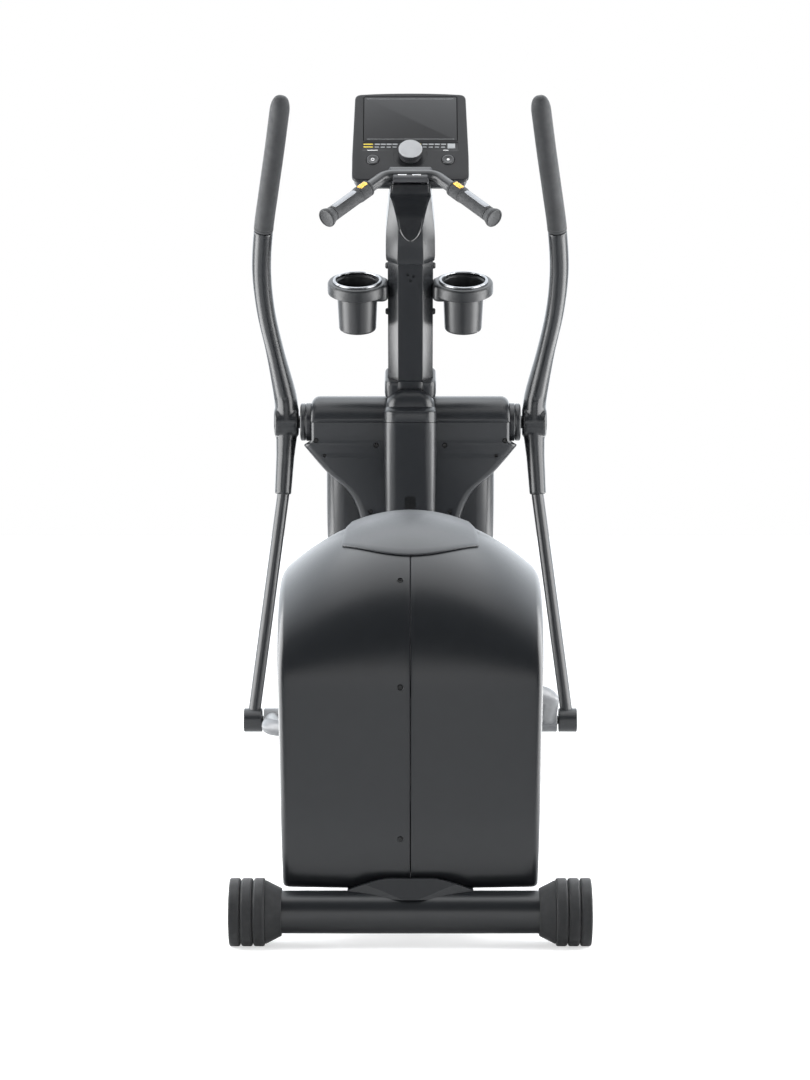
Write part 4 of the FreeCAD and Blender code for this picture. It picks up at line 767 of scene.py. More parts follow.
def make_tee():
    """The cover over the swing-arm pivot: an upper and a lower shell that meet on a seam."""
    y, seam = PIVOT.y, PIVOT.z
    round_end = 0.020
    upper = []
    for k in range(61):
        across = math.sin((-1 + 2 * k / 60) * math.pi / 2)
        x = TEE_HALF * across
        edge = max(0.0, abs(x) - (TEE_HALF - round_end)) / round_end
        shrink = round_end * (1 - math.sqrt(max(0.0, 1 - edge ** 2)))
        top = TEE_TOP - shrink
        side = shrink * 0.22
        outline = [(y - 0.0574 + side, seam + 0.0003)]
        for k in range(15):
            angle = math.pi / 2 * k / 14
            outline.append((y - (0.0580 - side) * math.cos(angle),
                            seam + 0.0012 + (top - 0.0012) * math.sin(angle)))
        outline += [(y + 0.066, seam + top), (y + 0.092 - side, seam + top * 0.62),
                    (y + 0.100 - side, seam + 0.0012), (y + 0.0994 - side, seam + 0.0003)]
        radii = [0.0] * 16 + [0.02, 0.02, 0.0006, 0]
        flat = eased([Vector(p) for p in outline], radii, 7)
        upper.append([Vector((x, p.x, p.y)) for p in flat])
    shell = loft("tee_upper", upper)
    carve(shell, mast_room())
    settle(shell, "charcoal_plastic", "crossbar_upper", 40)

    heights = [(0.0, 0.0006), (-0.0009, 0.0), (-0.012, 0.0), (-0.030, 0.0), (-0.042, 0.0)]
    # Each point is a drop below the seam and the half width there.
    gusset = [(-0.0490, 0.2430), (-0.0535, 0.2485), (-0.064, 0.2410), (-0.090, 0.2195), (-0.118, 0.1945),
              (-0.136, 0.1740), (-0.156, 0.1520), (-0.180, 0.1350), (-0.215, 0.1215), (-0.255, 0.1140),
              (-0.306, 0.1110)]
    rings = []
    for drop, inset in heights:
        front = y + 0.100 - inset
        back = y - 0.058 - drop * 0.08 + inset
        rings.append((seam + drop - (0.0003 if inset else 0), TEE_HALF - inset, back, front, 0.010))
    curve = [Vector((w, drop)) for drop, w in gusset]
    for k in range(45):
        spot = smooth_line(curve, k / 44)
        drop = spot.y
        back = tee_back(drop)
        front = y + 0.060 + 0.05 * min(1.0, (-drop - 0.049) / 0.256)
        rings.append((seam + drop, spot.x, back, front, 0.018))
    made = []
    for z, half, back, front, corner in rings:
        mid, deep = (back + front) / 2, (front - back) / 2
        made.append([Vector((px, py, z)) for px, py in oval(half, deep, corner, 8, (0, mid))])
    lower = loft("tee_lower", made)
    carve(lower, mast_room(), *[screw_pocket(at, out, size) for _, at, out, size in tee_screw_places()])
    settle(lower, "charcoal_plastic", "crossbar_lower", 40)


def tee_back(drop):
    """Where the lower shell's rear face stands below the seam."""
    fall = min(1.0, max(0.0, (-drop - 0.036) / 0.270))
    return PIVOT.y - 0.0546 + 0.0741 * fall ** 1.45


def tee_screw_places():
    """Each screw's name, place, outward direction and relative size on the lower shell."""
    places = []
    for word, side in (("right", 1), ("left", -1)):
        for x, z, size in ((0.080, 0.892, 1.0), (0.220, 0.903, 1.0),
                           (0.200, 0.868, 0.7), (0.093, 0.735, 1.0)):
            drop = z - PIVOT.z
            slope = (tee_back(drop + 0.003) - tee_back(drop - 0.003)) / 0.006
            out = Vector((0, -1, slope)).normalized()
            name = "tee_screw_%s_%d_%d" % (word, x * 1000, z * 1000)
            places.append((name, Vector((side * x, tee_back(drop), z)), out, size))
    return places


def screw_pocket(at, out, size):
    """The cutter for a screw's round well."""
    radius = 0.0060 * size
    profile = [(0, 0.004), (radius * 1.15, 0.004), (radius * 1.15, 0.0006), (radius, -0.0004),
               (radius * 0.97, -0.0044), (0, -0.0044)]
    return lathe("pocket", profile, pointing(at, out), 0, 32)


def make_tee_screws():
    """Near-black button-head screws at the bottom of the lower shell's wells; their near-black is partly
    painted shade in the wells.
    """
    for name, at, out, size in tee_screw_places():
        head = screw_head(name, at - out * 0.0042, out, 0.0052 * size, 0.0016)
        settle(head, "steel", finish="black_bolt")


def make_seam_screws():
    """Three screws sunk in the left shell's pockets beside the seam."""
    for i, z in enumerate(SEAM_SCREWS):
        out = rear_facing(z)
        at = Vector((SEAM_SCREW_X, rear_face(z), z)) - out * 0.0034
        head = screw_head("seam_screw_%d" % i, at, out, 0.0050, 0.0014)
        # The near-black of the screws is partly painted shade in the pockets.
        settle(head, "steel", "panel_screws" if i == 0 else "", finish="black_bolt")


def mast_room():
    """The leaning hole that the mast and tower pass through."""
    place = standing(MAST_AT, MAST_LEAN)
    outline = mast_outline(-0.001, False)
    return loft("mast_room", [[place @ Vector((p.x, p.y, z)) for p in outline] for z in (-0.5, 0.2)])


def mast_outline(inset, rounded=True):
    """The mast's section: a narrow rear strip between two wide bevels."""
    wide, deep = 0.052 - inset, 0.040 - inset
    strip = 0.0285 - inset * 0.4
    bevel = wide - strip
    points = [(-strip, -deep), (strip, -deep), (wide, -deep + bevel), (wide, deep - 0.010),
              (wide - 0.010, deep), (-wide + 0.010, deep), (-wide, deep - 0.010), (-wide, -deep + bevel)]
    points = [Vector(p) for p in points]
    return eased(points, 0.0022, 4) if rounded else points


def make_spine():
    """The rib down the middle of the leg: a dome on top, a cable slot lower down."""
    # Each key is a height, the rear and front faces' Y, and the half width.
    keys = [(1.018, 0.366, 0.472, 0.0575), (0.985, 0.352, 0.475, 0.0605), (0.946, 0.350, 0.478, 0.0612),
            (0.870, 0.370, 0.488, 0.0612), (0.800, 0.392, 0.500, 0.0612), (0.650, 0.444, 0.560, 0.0612),
            (0.400, 0.546, 0.660, 0.0602), (0.104, 0.671, 0.783, 0.0562)]
    places = [Vector((z, rear, front)) for z, rear, front, _ in keys]
    halves = [Vector((half, 0, 0)) for *_, half in keys]
    rings = []
    dome = 0.040
    for k in range(9):
        angle = math.pi / 2 * k / 8
        inset, lift = dome * (1 - math.sin(angle)), dome * (1 - math.cos(angle))
        z, rear, front, half = keys[0]
        shallow = inset * 0.42
        outline = oval(half - inset, (front - rear) / 2 - shallow, 0.028 - inset * 0.3, 8,
                       (0, (front + rear) / 2))
        rings.append([Vector((px, py, z + 0.004 - lift)) for px, py in outline])
    for k in range(1, 61):
        share = k / 60
        spot, half = smooth_line(places, share), smooth_line(halves, share).x
        z = min(spot.x, keys[0][0] + 0.004 - dome - 0.001 * k)
        outline = oval(half, (spot.z - spot.y) / 2, 0.028, 8, (0, (spot.y + spot.z) / 2))
        rings.append([Vector((px, py, z)) for px, py in outline])
    spine = loft("spine", rings)
    port = block("port", (-0.0128, 0.38, 0.690), (0.0128, 0.500, 0.772), 0.004)
    seam = block("seam", (-0.07, 0.34, PIVOT.z - 0.0012), (0.07, 0.40, PIVOT.z), 0.0001, 1)
    carve(spine, port, seam, mast_room())
    settle(spine, "charcoal_plastic", "spine_cover", 40)


def make_shroud():
    """The leg's fairing in two halves, with a seam up its front."""
    # Each key is a height, the half width, and the rear and front faces' Y.
    keys = [(0.101, 0.120, 0.702, 0.918), (0.400, 0.178, 0.578, 0.790), (0.650, 0.196, 0.478, 0.682),
            (0.903, 0.198, 0.426, 0.588)]
    spots = [Vector((z, rear, front)) for z, _, rear, front in keys]
    halves = [Vector((half, 0, 0)) for _, half, *_ in keys]
    rings = []
    for k in range(49):
        share = k / 48
        spot, half = smooth_line(spots, share), smooth_line(halves, share).x
        edge = min(share, 1 - share) * 48
        inset = 0.0025 * max(0.0, 1 - edge)
        outline = oval(half - inset, (spot.z - spot.y) / 2 - inset, 0.044, 10, (0, (spot.y + spot.z) / 2))
        rings.append([Vector((px, py, spot.x)) for px, py in outline])
    whole = loft("shroud_whole", rings)
    for side, name in ((1, "right"), (-1, "left")):
        half = whole.copy()
        half.data = whole.data.copy()
        half.name = "fairing_" + name
        bpy.context.scene.collection.objects.link(half)
        low, high = (-0.3, 0.0006) if side > 0 else (-0.0006, 0.3)
        carve(half, block("cutter", (low, 0.3, 0.0), (high, 1.1, 1.1), 0.001))
        soften(half, 0.0012, 2, 50)
        settle(half, "charcoal_plastic", "shroud_" + name, 40)
    bpy.data.objects.remove(whole)


def make_collar():
    """The moulded collar round the mast's foot, with a notch in its rear face."""
    place = standing(MAST_AT, MAST_LEAN)
    rings = []
    for z, half, deep, corner in ((0.000, 0.0585, 0.050, 0.018), (0.010, 0.0600, 0.0510, 0.019),
                                  (0.030, 0.0600, 0.0495, 0.019), (0.0365, 0.0592, 0.0485, 0.018),
                                  (0.0395, 0.0572, 0.0465, 0.016), (0.0400, 0.0545, 0.0435, 0.014)):
        rings.append([place @ Vector((px, py, z)) for px, py in oval(half, deep, corner, 8)])
    collar = loft("collar", rings)
    notch = block("notch", (-0.032, -0.07, 0.010), (0.032, -0.0425, 0.060), 0.008, 4, place)
    carve(collar, mast_room(), notch)
    soften(collar, 0.0008, 2, 40)
    settle(collar, "charcoal_plastic", "mast_collar")


def make_rings():
    """The two-step rings at the tee's ends."""
    outline = [(0.0155, 0), (0.043, 0), (0.0445, 0.0012), (0.0445, 0.0115), (0.0432, 0.0128),
               (0.0418, 0.0130), (0.0418, 0.0142), (0.0430, 0.0146), (0.0437, 0.0160), (0.0437, 0.0235),
               (0.0420, 0.0252), (0.0400, 0.0260), (0.0155, 0.0260)]
    right = lathe("end_ring_right", outline, along_x((TEE_HALF, PIVOT.y, PIVOT.z)), 0.0006, 96)
    settle_pair(right, "end_ring_left", "charcoal_plastic", ("end_rings", ""), 32)


# ------------------------------------------------------------------ mast and neck
def make_mast():
    """The mast, the arm that it sends up to the handlebar, three holes and four side bolts."""
    place = standing(MAST_AT, MAST_LEAN)
    rings = []
    for z, inset in ((-0.002, 0.0), (0.3995, 0.0), (0.4005, 0.001), (0.4055, 0.001), (0.406, 0.002)):
        rings.append([place @ Vector((p.x, p.y, z)) for p in mast_outline(inset)])
    mast = loft("mast", rings)
    arm_start, arm_end = place @ Vector((0, 0, 0.388)), Vector((0, 0.072, 1.490))
    run = (arm_end - arm_start).normalized()
    up = Vector((1, 0, 0)).cross(run)
    arm_rings = []
    for share in (0.0, 0.5, 0.93):
        centre = arm_start.lerp(arm_end, share)
        arm_rings.append([centre + Vector((1, 0, 0)) * px + up * py
                          for px, py in oval(0.025, 0.014, 0.005, 4)])
    arm = loft("mast_arm", arm_rings)
    pockets = []
    hole = [(0, 0.006), (0.0032, 0.006), (0.0032, -0.004), (0, -0.004)]
    for x, z in ((-0.006, 0.3020), (0.007, 0.2985), (0.0, 0.2880)):
        pockets.append(lathe("hole", hole, place @ pointing((x, -0.040, z), (0, -1, 0)), 0, 20))
    carve(mast, *pockets)
    settle(mast, "frame_paint", "mast_post", 30, finish="mast_paint")
    settle(arm, "frame_paint", "", 30)
    for word, side in (("right", 1), ("left", -1)):
        for z in (0.312, 0.200):
            out = place.to_3x3() @ Vector((side, 0, 0))
            bolt = screw_head("mast_bolt_%s_%d" % (word, z * 1000),
                              place @ Vector((side * 0.052, -0.004, z)), out, 0.0075, 0.0058)
            # The bolts share the screws' near-black, which is partly painted shade.
            settle(bolt, "steel", finish="black_bolt")


# Each key is the centre's Y and Z, the section's tilt in degrees, and its half width and half depth.
NECK_KEYS = ((0.305, 1.324, 23, 0.0565, 0.049), (0.268, 1.385, 36, 0.0555, 0.048),
             (0.205, 1.432, 52, 0.050, 0.040), (0.140, 1.458, 66, 0.0462, 0.030),
             (0.096, 1.470, 72, 0.0442, 0.022))


def neck_section(share):
    """The neck's centre, its section's tilt, and its half width and half depth."""
    centre = smooth_line([Vector((0, y, z)) for y, z, *_ in NECK_KEYS], share)
    rest = smooth_line([Vector((lean, wide, deep)) for *_, lean, wide, deep in NECK_KEYS], share)
    return centre, Matrix.Rotation(math.radians(rest.x), 3, "X"), rest.y, rest.z


def console_room(depth):
    """The cutter that leaves room for the console's case over a piece below it."""
    return block("room", (-0.131, -0.001, -depth), (0.131, 0.259, 0.03), 0.001, 3,
                 standing(FACE_AT, FACE_TURN))


def make_neck():
    """The bevelled cover that bends from the mast to the console, and the glossy shield down its rear."""
    rings = []
    for k in range(41):
        share = k / 40
        centre, turn, wide, deep = neck_section(share)
        inset = 0.0016 * max(0.0, 1 - k / 1.5)
        strip = 0.0300 - 0.006 * share
        bevel = min(wide - strip, deep * 0.9)
        w, h = wide - inset, deep - inset
        points = [(-strip, -h), (strip, -h), (w, -h + bevel), (w, h - 0.012), (w - 0.012, h),
                  (-w + 0.012, h), (-w, h - 0.012), (-w, -h + bevel)]
        flat = eased([Vector(p) for p in points], 0.004, 4)
        rings.append([centre + turn @ Vector((p.x, p.y, 0)) for p in flat])
    neck = loft("neck", rings)
    carve(neck, console_room(0.045))
    settle(neck, "charcoal_plastic", "neck_cover", finish="neck_plastic")

    rings = []
    for k in range(33):
        share = 0.25 + 0.72 * k / 32
        centre, turn, _, deep = neck_section(share)
        t = k / 32
        half = 0.0215 + 0.0245 * t ** 0.9
        if k < 6:
            half *= math.sqrt(max(0.06, 1 - ((6 - k) / 6.3) ** 2))
        lip = 0.0022
        profile = [(-half, 0.002), (-half, -lip * 0.3), (-half + 0.0012, -lip), (-half + 0.0035, -lip),
                   (-half + 0.0050, -lip * 0.45), (half - 0.0050, -lip * 0.45), (half - 0.0035, -lip),
                   (half - 0.0012, -lip), (half, -lip * 0.3), (half, 0.002)]
        if half < 0.009:
            profile = [(x * min(1.0, half / 0.0065), y) if abs(x) < half - 0.004 else (x, y)
                       for x, y in profile]
        rings.append([centre + turn @ Vector((x, -deep + y - 0.0002, 0)) for x, y in profile])
    last = rings[-1]
    for back, up, narrow in ((0.004, 0.0010, 1.0), (0.018, 0.0110, 0.97), (0.032, 0.0225, 0.93)):
        rings.append([Vector((p.x * narrow, p.y - back, p.z + up)) for p in last])
    shield = loft("shield", rings)
    settle(shield, "gloss_plastic", "neck_shield", 30)


# ------------------------------------------------------------------ cup holders
def make_cups():
    """Both cup holders: the cup, the arm that joins it to the mast and the bright rim."""
    place = standing(MAST_AT, MAST_LEAN) @ Matrix.Translation((0.122, -0.010, 0.276))
    wall = [(0.0005, -0.118), (0.036, -0.118), (0.0415, -0.1165), (0.0430, -0.113), (0.0465, -0.032),
            (0.0480, -0.029), (0.0640, -0.0290), (0.0680, -0.0265), (0.0685, -0.016), (0.0680, -0.0045),
            (0.0655, -0.0008), (0.0620, 0.0), (0.0558, 0.0), (0.0550, -0.0018), (0.0492, -0.0022),
            (0.0465, -0.006), (0.0436, -0.032), (0.0398, -0.112), (0.0370, -0.1148), (0.0005, -0.115)]
    cup = lathe("cup_right", wall, place, 0.0012, 96)
    arm = block("cup_arm", (-0.071, -0.034, -0.040), (-0.006, 0.036, -0.0012), 0.008, 4, place)
    room = [(0, -0.09), (0.0440, -0.09), (0.0475, -0.0025), (0.0475, 0.01), (0, 0.01)]
    carve(arm, lathe("cup_room", room, place, 0, 64))
    rim = [(0.0502, -0.0014), (0.0562, -0.0014), (0.0566, 0.0020), (0.0554, 0.0042), (0.0526, 0.0050),
           (0.0504, 0.0042), (0.0496, 0.0020)]
    ring = lathe("cup_rim_right", rim, place, 0.0006, 96)
    settle_pair(cup, "cup_left", "charcoal_plastic", ("cup_holder_right", "cup_holder_left"),
                finish="cup_plastic")
    settle_pair(arm, "cup_arm_left", "charcoal_plastic", finish="cup_plastic")
    settle_pair(ring, "cup_rim_left", "bright_plate", ("cup_rings", ""), finish="chrome_rim")


# ------------------------------------------------------------------ pad over the handlebar
PAD_Y, PAD_Z = 0.072, 1.490


def make_pad():
    """The sloping pad at the handlebar's middle, with two plain labels and a dark strip below."""
    side = [(PAD_Y - 0.0200, PAD_Z - 0.0160), (PAD_Y - 0.0190, PAD_Z - 0.0040),
            (PAD_Y + 0.0090, PAD_Z + 0.0200), (PAD_Y + 0.0215, PAD_Z + 0.0200),
            (PAD_Y + 0.0250, PAD_Z - 0.0160)]
    flat = eased([Vector(p) for p in side], [0.002, 0.004, 0.006, 0.004, 0.002], 5)
    rings = []
    for k in range(31):
        u = -1 + 2 * k / 30
        edge = max(0.0, abs(u) - 0.9) / 0.1
        shrink = 0.0045 * (1 - math.sqrt(1 - min(1.0, edge) ** 2))
        ring = []
        for p in flat:
            half = 0.0385 + 0.0095 * min(1.0, max(0.0, (p.y - PAD_Z + 0.004) / 0.024))
            ring.append(Vector((u * half, p.x, p.y - shrink)))
        rings.append(ring)
    pad = loft("pad", rings)
    tube = lathe("tube_room", [(0, -0.09), (0.0131, -0.09), (0.0131, 0.09), (0, 0.09)],
                 along_x((0, PAD_Y, PAD_Z)), 0, 48)
    carve(pad, tube, console_room(0.0455))
    settle(pad, "charcoal_plastic", "handlebar_plate", finish="pad_plastic")
    slope = standing((0, PAD_Y - 0.0190, PAD_Z - 0.0040), math.atan2(0.024, 0.028))
    for i, x in enumerate((-0.0275, 0.0040)):
        label = block("pad_label_%d" % i, (x, 0.0060, -0.0004), (x + 0.0190, 0.0160, 0.0004),
                      0.0002, 2, slope)
        settle(label, "silver_plastic", finish="white_print")
        for j in range(3):
            bar = block("pad_mark_%d_%d" % (i, j), (x + 0.0025, 0.0078 + 0.0026 * j, 0.0003),
                        (x + 0.0165 - 0.004 * j, 0.0088 + 0.0026 * j, 0.0006), 0.0001, 1, slope)
            settle(bar, "button_black", finish="grey_print")
    strip = block("pad_strip", (-0.0375, PAD_Y - 0.0212, PAD_Z - 0.0155),
                  (0.0375, PAD_Y - 0.0188, PAD_Z - 0.0055), 0.0009, 3)
    settle(strip, "charcoal_plastic", finish="knob_plastic")


# ------------------------------------------------------------------ console
FACE_HALF, FACE_DEEP, BEZEL = 0.130, 0.045, 0.010
BUTTON_AT, KNOB_AT = (0.084, 0.058), (0.0, 0.073)


def face_outline(inset):
    """The console's outline: a little narrower at the top, with a bowed top edge."""
    points = [(-FACE_HALF + inset, inset), (FACE_HALF - inset, inset), (FACE_HALF - inset, 0.070),
              (FACE_HALF - 0.005 - inset, 0.2515 - inset)]
    radii = [0.016, 0.016, 0.03, 0.015]
    for k in range(1, 8):
        x = (FACE_HALF - 0.022) * (1 - k / 4)
        points.append((x, 0.2515 + 0.0050 * (1 - (x / FACE_HALF) ** 2) - inset))
        radii.append(0.0)
    points += [(-FACE_HALF + 0.005 + inset, 0.2515 - inset), (-FACE_HALF + inset, 0.070)]
    radii += [0.015, 0.03]
    return eased([Vector(p) for p in points], radii, 6)


def face_slab(name, levels):
    """A slab on the console's face, stepped through (inset, height) levels."""
    place = standing(FACE_AT, FACE_TURN)
    rings = [[place @ Vector((p.x, p.y, z)) for p in face_outline(inset)] for inset, z in levels]
    return loft(name, rings)


def face_bar(name, x0, x1, y0, y1, z0, z1, radius):
    """A thin bar on the console's face."""
    return block(name, (x0, y0, z0), (x1, y1, z1), radius, 2, standing(FACE_AT, FACE_TURN))


def make_case():
    """The console's rear case with its vents, and the front frame with its recesses and holes."""
    place = standing(FACE_AT, FACE_TURN)
    back = face_slab("case_back", [(0.020, -FACE_DEEP), (0.013, -FACE_DEEP + 0.001),
                                   (0.0075, -FACE_DEEP + 0.006), (0.0045, -0.028), (0.0032, -0.0115),
                                   (0.0036, -BEZEL)])
    vents = [block("vent", (-0.060 + 0.012 * k, 0.150, -0.05), (-0.054 + 0.012 * k, 0.200, -0.0435),
                   0.0015, 2, place) for k in range(11)]
    carve(back, *vents)
    settle(back, "charcoal_plastic", "console_back")

    front = face_slab("fascia", [(0.0030, -BEZEL), (0.0012, -0.0094), (0.0, -0.0082), (0.0, -0.0028),
                                 (0.0006, -0.0010), (0.0018, -0.0002), (0.0032, 0.0)])
    tools = [block("panel", (-0.1060, 0.112, -0.0032), (0.1060, 0.246, 0.01), 0.002, 3, place),
             block("strip", (-0.1085, 0.084, -0.0012), (0.1085, 0.1105, 0.01), 0.002, 3, place)]
    dish = [(0, -0.0015), (0.0330, -0.0015), (0.0375, -0.0006), (0.0385, 0.0006), (0.0385, 0.01), (0, 0.01)]
    tools.append(lathe("dish", dish, place @ Matrix.Translation((*KNOB_AT, 0)), 0, 72))
    hole = [(0, -0.012), (0.0143, -0.012), (0.0143, -0.0012), (0.0156, 0.0006), (0.0156, 0.01), (0, 0.01)]
    for side in (1, -1):
        at = place @ Matrix.Translation((side * BUTTON_AT[0], BUTTON_AT[1], 0))
        tools.append(lathe("hole", hole, at, 0, 48))
    tools.append(lathe("shaft_hole", [(0, -0.012), (0.0031, -0.012), (0.0031, 0.01), (0, 0.01)],
                       place @ Matrix.Translation((*KNOB_AT, 0)), 0, 24))
    carve(front, *tools)
    settle(front, "charcoal_plastic", "console_front", finish="fascia_plastic")


def make_face():
    """The screen with two fine lines, and the plain bars that stand for the printed labels."""
    place = standing(FACE_AT, FACE_TURN)
    glass = block("glass", (-0.1047, 0.1133, -0.0029), (0.1047, 0.2447, -0.0003), 0.0011, 3, place)
    settle(glass, "screen_glass", "console_display")
    for i, (y0, y1) in enumerate(((0.1190, 0.1196), (0.2385, 0.2391))):
        line = face_bar("glass_line_%d" % i, -0.098, 0.098, y0, y1, -0.0006, -0.0002, 0.0001)
        settle(line, "screen_glass", finish="grey_print")

    prints = [("yellow_print", -0.1050, -0.0840, 0.1030, 0.1062),
              ("yellow_print", -0.1050, -0.0840, 0.0950, 0.0982),
              ("yellow_print", -0.0060, 0.0240, 0.1030, 0.1058),
              ("grey_print", 0.0830, 0.1000, 0.0925, 0.1065)]
    for start, pitch in ((-0.0795, 0.0132), (0.0270, 0.0138)):
        for wide, low, high in ((0.0112, 0.1030, 0.1062), (0.0092, 0.0950, 0.0974)):
            prints += [("grey_print", start + pitch * k, start + pitch * k + wide, low, high)
                       for k in range(4)]
    prints += [("white_print", -0.0960, -0.0730, 0.0862, 0.0878),
               ("white_print", 0.0730, 0.0850, 0.0862, 0.0878)]
    for i, (finish, x0, x1, y0, y1) in enumerate(prints):
        bar = face_bar("label_%02d" % i, x0, x1, y0, y1, -0.0016, -0.0008, 0.0002)
        settle(bar, "silver_plastic", finish=finish)


def make_controls():
    """The knob with its grooves and bright face, and the two round keys with their marks."""
    place = standing(FACE_AT, FACE_TURN)
    dial = [(0, -0.012), (0.003, -0.012), (0.003, -0.0012), (0.0245, -0.0012), (0.0252, 0.0004),
            (0.0252, 0.0030), (0.0246, 0.0042), (0.0252, 0.0054), (0.0255, 0.0150), (0.0268, 0.0165),
            (0.0268, 0.0188), (0.0252, 0.0208), (0.0225, 0.0210), (0.0205, 0.0200), (0, 0.0196)]
    knob_place = place @ Matrix.Translation((*KNOB_AT, 0))
    knob = lathe("dial", dial, knob_place, 0.0004, 96)
    grooves = []
    for k in range(36):
        at = knob_place @ Matrix.Rotation(2 * math.pi * k / 36, 4, "Z")
        grooves.append(block("groove", (0.0247, -0.0006, 0.0065), (0.0262, 0.0006, 0.0140), 0.0003, 2, at))
    carve(knob, *grooves)
    settle(knob, "silver_plastic", "knob_dial", 32, body="console_knob", finish="knob_plastic")
    face = lathe("dial_face", [(0, 0.0196), (0.0258, 0.0196), (0.0262, 0.0206), (0.0252, 0.0216),
                               (0, 0.0219)], place @ Matrix.Translation((*KNOB_AT, -0.0006)), 0.0003, 72)
    settle(face, "silver_plastic", "", 32, body="console_knob")
    key_shape = [(0, -0.006), (0.0138, -0.006), (0.0138, 0.0008), (0.0130, 0.0018), (0.0112, 0.0024),
                 (0.0098, 0.0023), (0.0085, 0.0018), (0, 0.0012)]
    for side, word in ((1, "right"), (-1, "left")):
        at = place @ Matrix.Translation((side * BUTTON_AT[0], BUTTON_AT[1], 0))
        key = lathe("key_" + word, key_shape, at, 0.0004, 64)
        settle(key, "button_black", "button_" + word, 32, body=word + "_console_button")
        mark = [(0.0, 0.0008), (0.0030, 0.0008), (0.0030, 0.0017), (0.0, 0.0017)]
        if side < 0:
            mark = [(0.0028, 0.0008), (0.0040, 0.0008), (0.0040, 0.0019), (0.0028, 0.0019)]
        spot = lathe("key_mark_" + word, mark, at, 0.0001, 32)
        settle(spot, "silver_plastic", "", 32, body=word + "_console_button", finish="white_print")


# ------------------------------------------------------------------ fixed handlebar
BAR_R, SLEEVE_R, COLLAR_R = 0.013, 0.0168, 0.0180
THUMB_SHARE = 0.40
BAR_MID, BAR_END = Vector((0.055, 0.072, 1.490)), Vector((0.177, -0.048, 1.391))


def grip_frame():
    """A frame on the right grip's start: Z runs out along it and X points up and rearward."""
    run = (BAR_END - BAR_MID).normalized()
    lift = Vector((0, -0.55, 0.83))
    lift = (lift - run * lift.dot(run)).normalized()
    side = run.cross(lift)
    place = Matrix((lift, side, run)).transposed().to_4x4()
    place.translation = BAR_MID
    return place, (BAR_END - BAR_MID).length


def grip_turned(name, outline):
    """A piece turned about the right grip; outline is (radius, share of the length)."""
    place, length = grip_frame()
    return lathe(name, [(r, share * length) for r, share in outline], place, 0.0006, 72)


def make_handlebar():
    """Both fixed grips: sleeve, flared end, bright plate and thumb button."""
    place, length = grip_frame()
    thumb_z = THUMB_SHARE * length
    sleeve = grip_turned("grip_right", [
        (BAR_R + 0.0001, 0.300), (COLLAR_R - 0.0015, 0.300), (COLLAR_R, 0.310), (COLLAR_R, 0.330),
        (COLLAR_R - 0.0012, 0.336), (COLLAR_R - 0.0012, 0.342), (COLLAR_R, 0.350), (COLLAR_R, 0.480),
        (COLLAR_R - 0.001, 0.495), (SLEEVE_R + 0.0004, 0.505), (SLEEVE_R - 0.0002, 0.520),
        (SLEEVE_R - 0.0002, 0.915), (SLEEVE_R, 0.930), (BAR_R + 0.0001, 0.930)])
    window = block("window", (0.0100, -0.0066, thumb_z - 0.0126), (0.03, 0.0066, thumb_z + 0.0126),
                   0.002, 3, place)
    carve(sleeve, window)
    settle_pair(sleeve, "grip_left", "rubber", ("handlebar_grips", ""), 32, finish="grip_rubber")

    end = grip_turned("grip_knob_right", [
        (BAR_R + 0.0001, 0.931), (0.0155, 0.931), (0.0165, 0.938), (0.0170, 0.952), (0.0186, 0.975),
        (0.0208, 1.003), (0.0214, 1.016), (0.0212, 1.030), (0.0200, 1.038), (0.0184, 1.039),
        (0.0165, 1.030), (0.0060, 1.022), (0.0006, 1.021), (0.0006, 1.002), (BAR_R + 0.0001, 1.002)])
    settle_pair(end, "grip_knob_left", "rubber", ("grip_ends", ""), 32, finish="grip_rubber")

    rings = []
    for k in range(17):
        share = k / 16
        z = (0.535 + 0.37 * share) * length
        edge = min(share, 1 - share) * 16
        reach = math.radians(21) * (1 - 0.16 * max(0.0, 1 - edge / 1.6) ** 2)
        proud = 0.0012 - 0.0005 * max(0.0, 1 - edge)
        arc = [(SLEEVE_R + proud, -reach + 2 * reach * i / 16) for i in range(17)]
        arc += [(SLEEVE_R - 0.0004, reach - 2 * reach * i / 16) for i in range(17)]
        rings.append([place @ Vector((r * math.cos(a), r * math.sin(a), z)) for r, a in arc])
    plate = loft("plate_right", rings)
    soften(plate, 0.0004, 2, 40)
    settle_pair(plate, "plate_left", "bright_plate", ("pulse_plates", ""), 32)

    key = block("thumb", (BAR_R + 0.0014, -0.0059, thumb_z - 0.0119),
                (COLLAR_R + 0.0014, 0.0059, thumb_z + 0.0119), 0.0020, 4, place)
    grooves = [block("groove", (COLLAR_R + 0.0010, -0.0045, thumb_z + 0.004 * k - 0.0005),
                     (COLLAR_R + 0.0022, 0.0045, thumb_z + 0.004 * k + 0.0005), 0.0003, 2, place)
               for k in (-1, 0, 1)]
    carve(key, *grooves)
    settle_pair(key, "thumb_left", "button_yellow", ("grip_button_right", "grip_button_left"), 40,
                ("right_grip_button", "left_grip_button"))


# ------------------------------------------------------------------ swing arms
# Each key is a point of the right handle's route, and its half width and half depth there.
HANDLE_KEYS = (
    ((0.290, 0.444, 0.946), 0.0290, 0.035), ((0.2915, 0.446, 0.985), 0.0275, 0.036),
    ((0.297, 0.440, 1.022), 0.0262, 0.033), ((0.316, 0.404, 1.112), 0.0213, 0.026),
    ((0.334, 0.350, 1.204), 0.0213, 0.0235), ((0.340, 0.288, 1.294), 0.0222, 0.0228),
    ((0.332, 0.226, 1.381), 0.0222, 0.0222), ((0.317, 0.174, 1.467), 0.0222, 0.0222),
    ((0.302, 0.132, 1.552), 0.0222, 0.0222), ((0.289, 0.098, 1.634), 0.0222, 0.0222))
GRIP_KEY = 6
GRIP_SHARE = GRIP_KEY / (len(HANDLE_KEYS) - 1)
HUB_IN, HUB_OUT, HUB_R = 0.262, 0.320, 0.035
SWING_BODIES = ("right_swing_arm", "left_swing_arm")


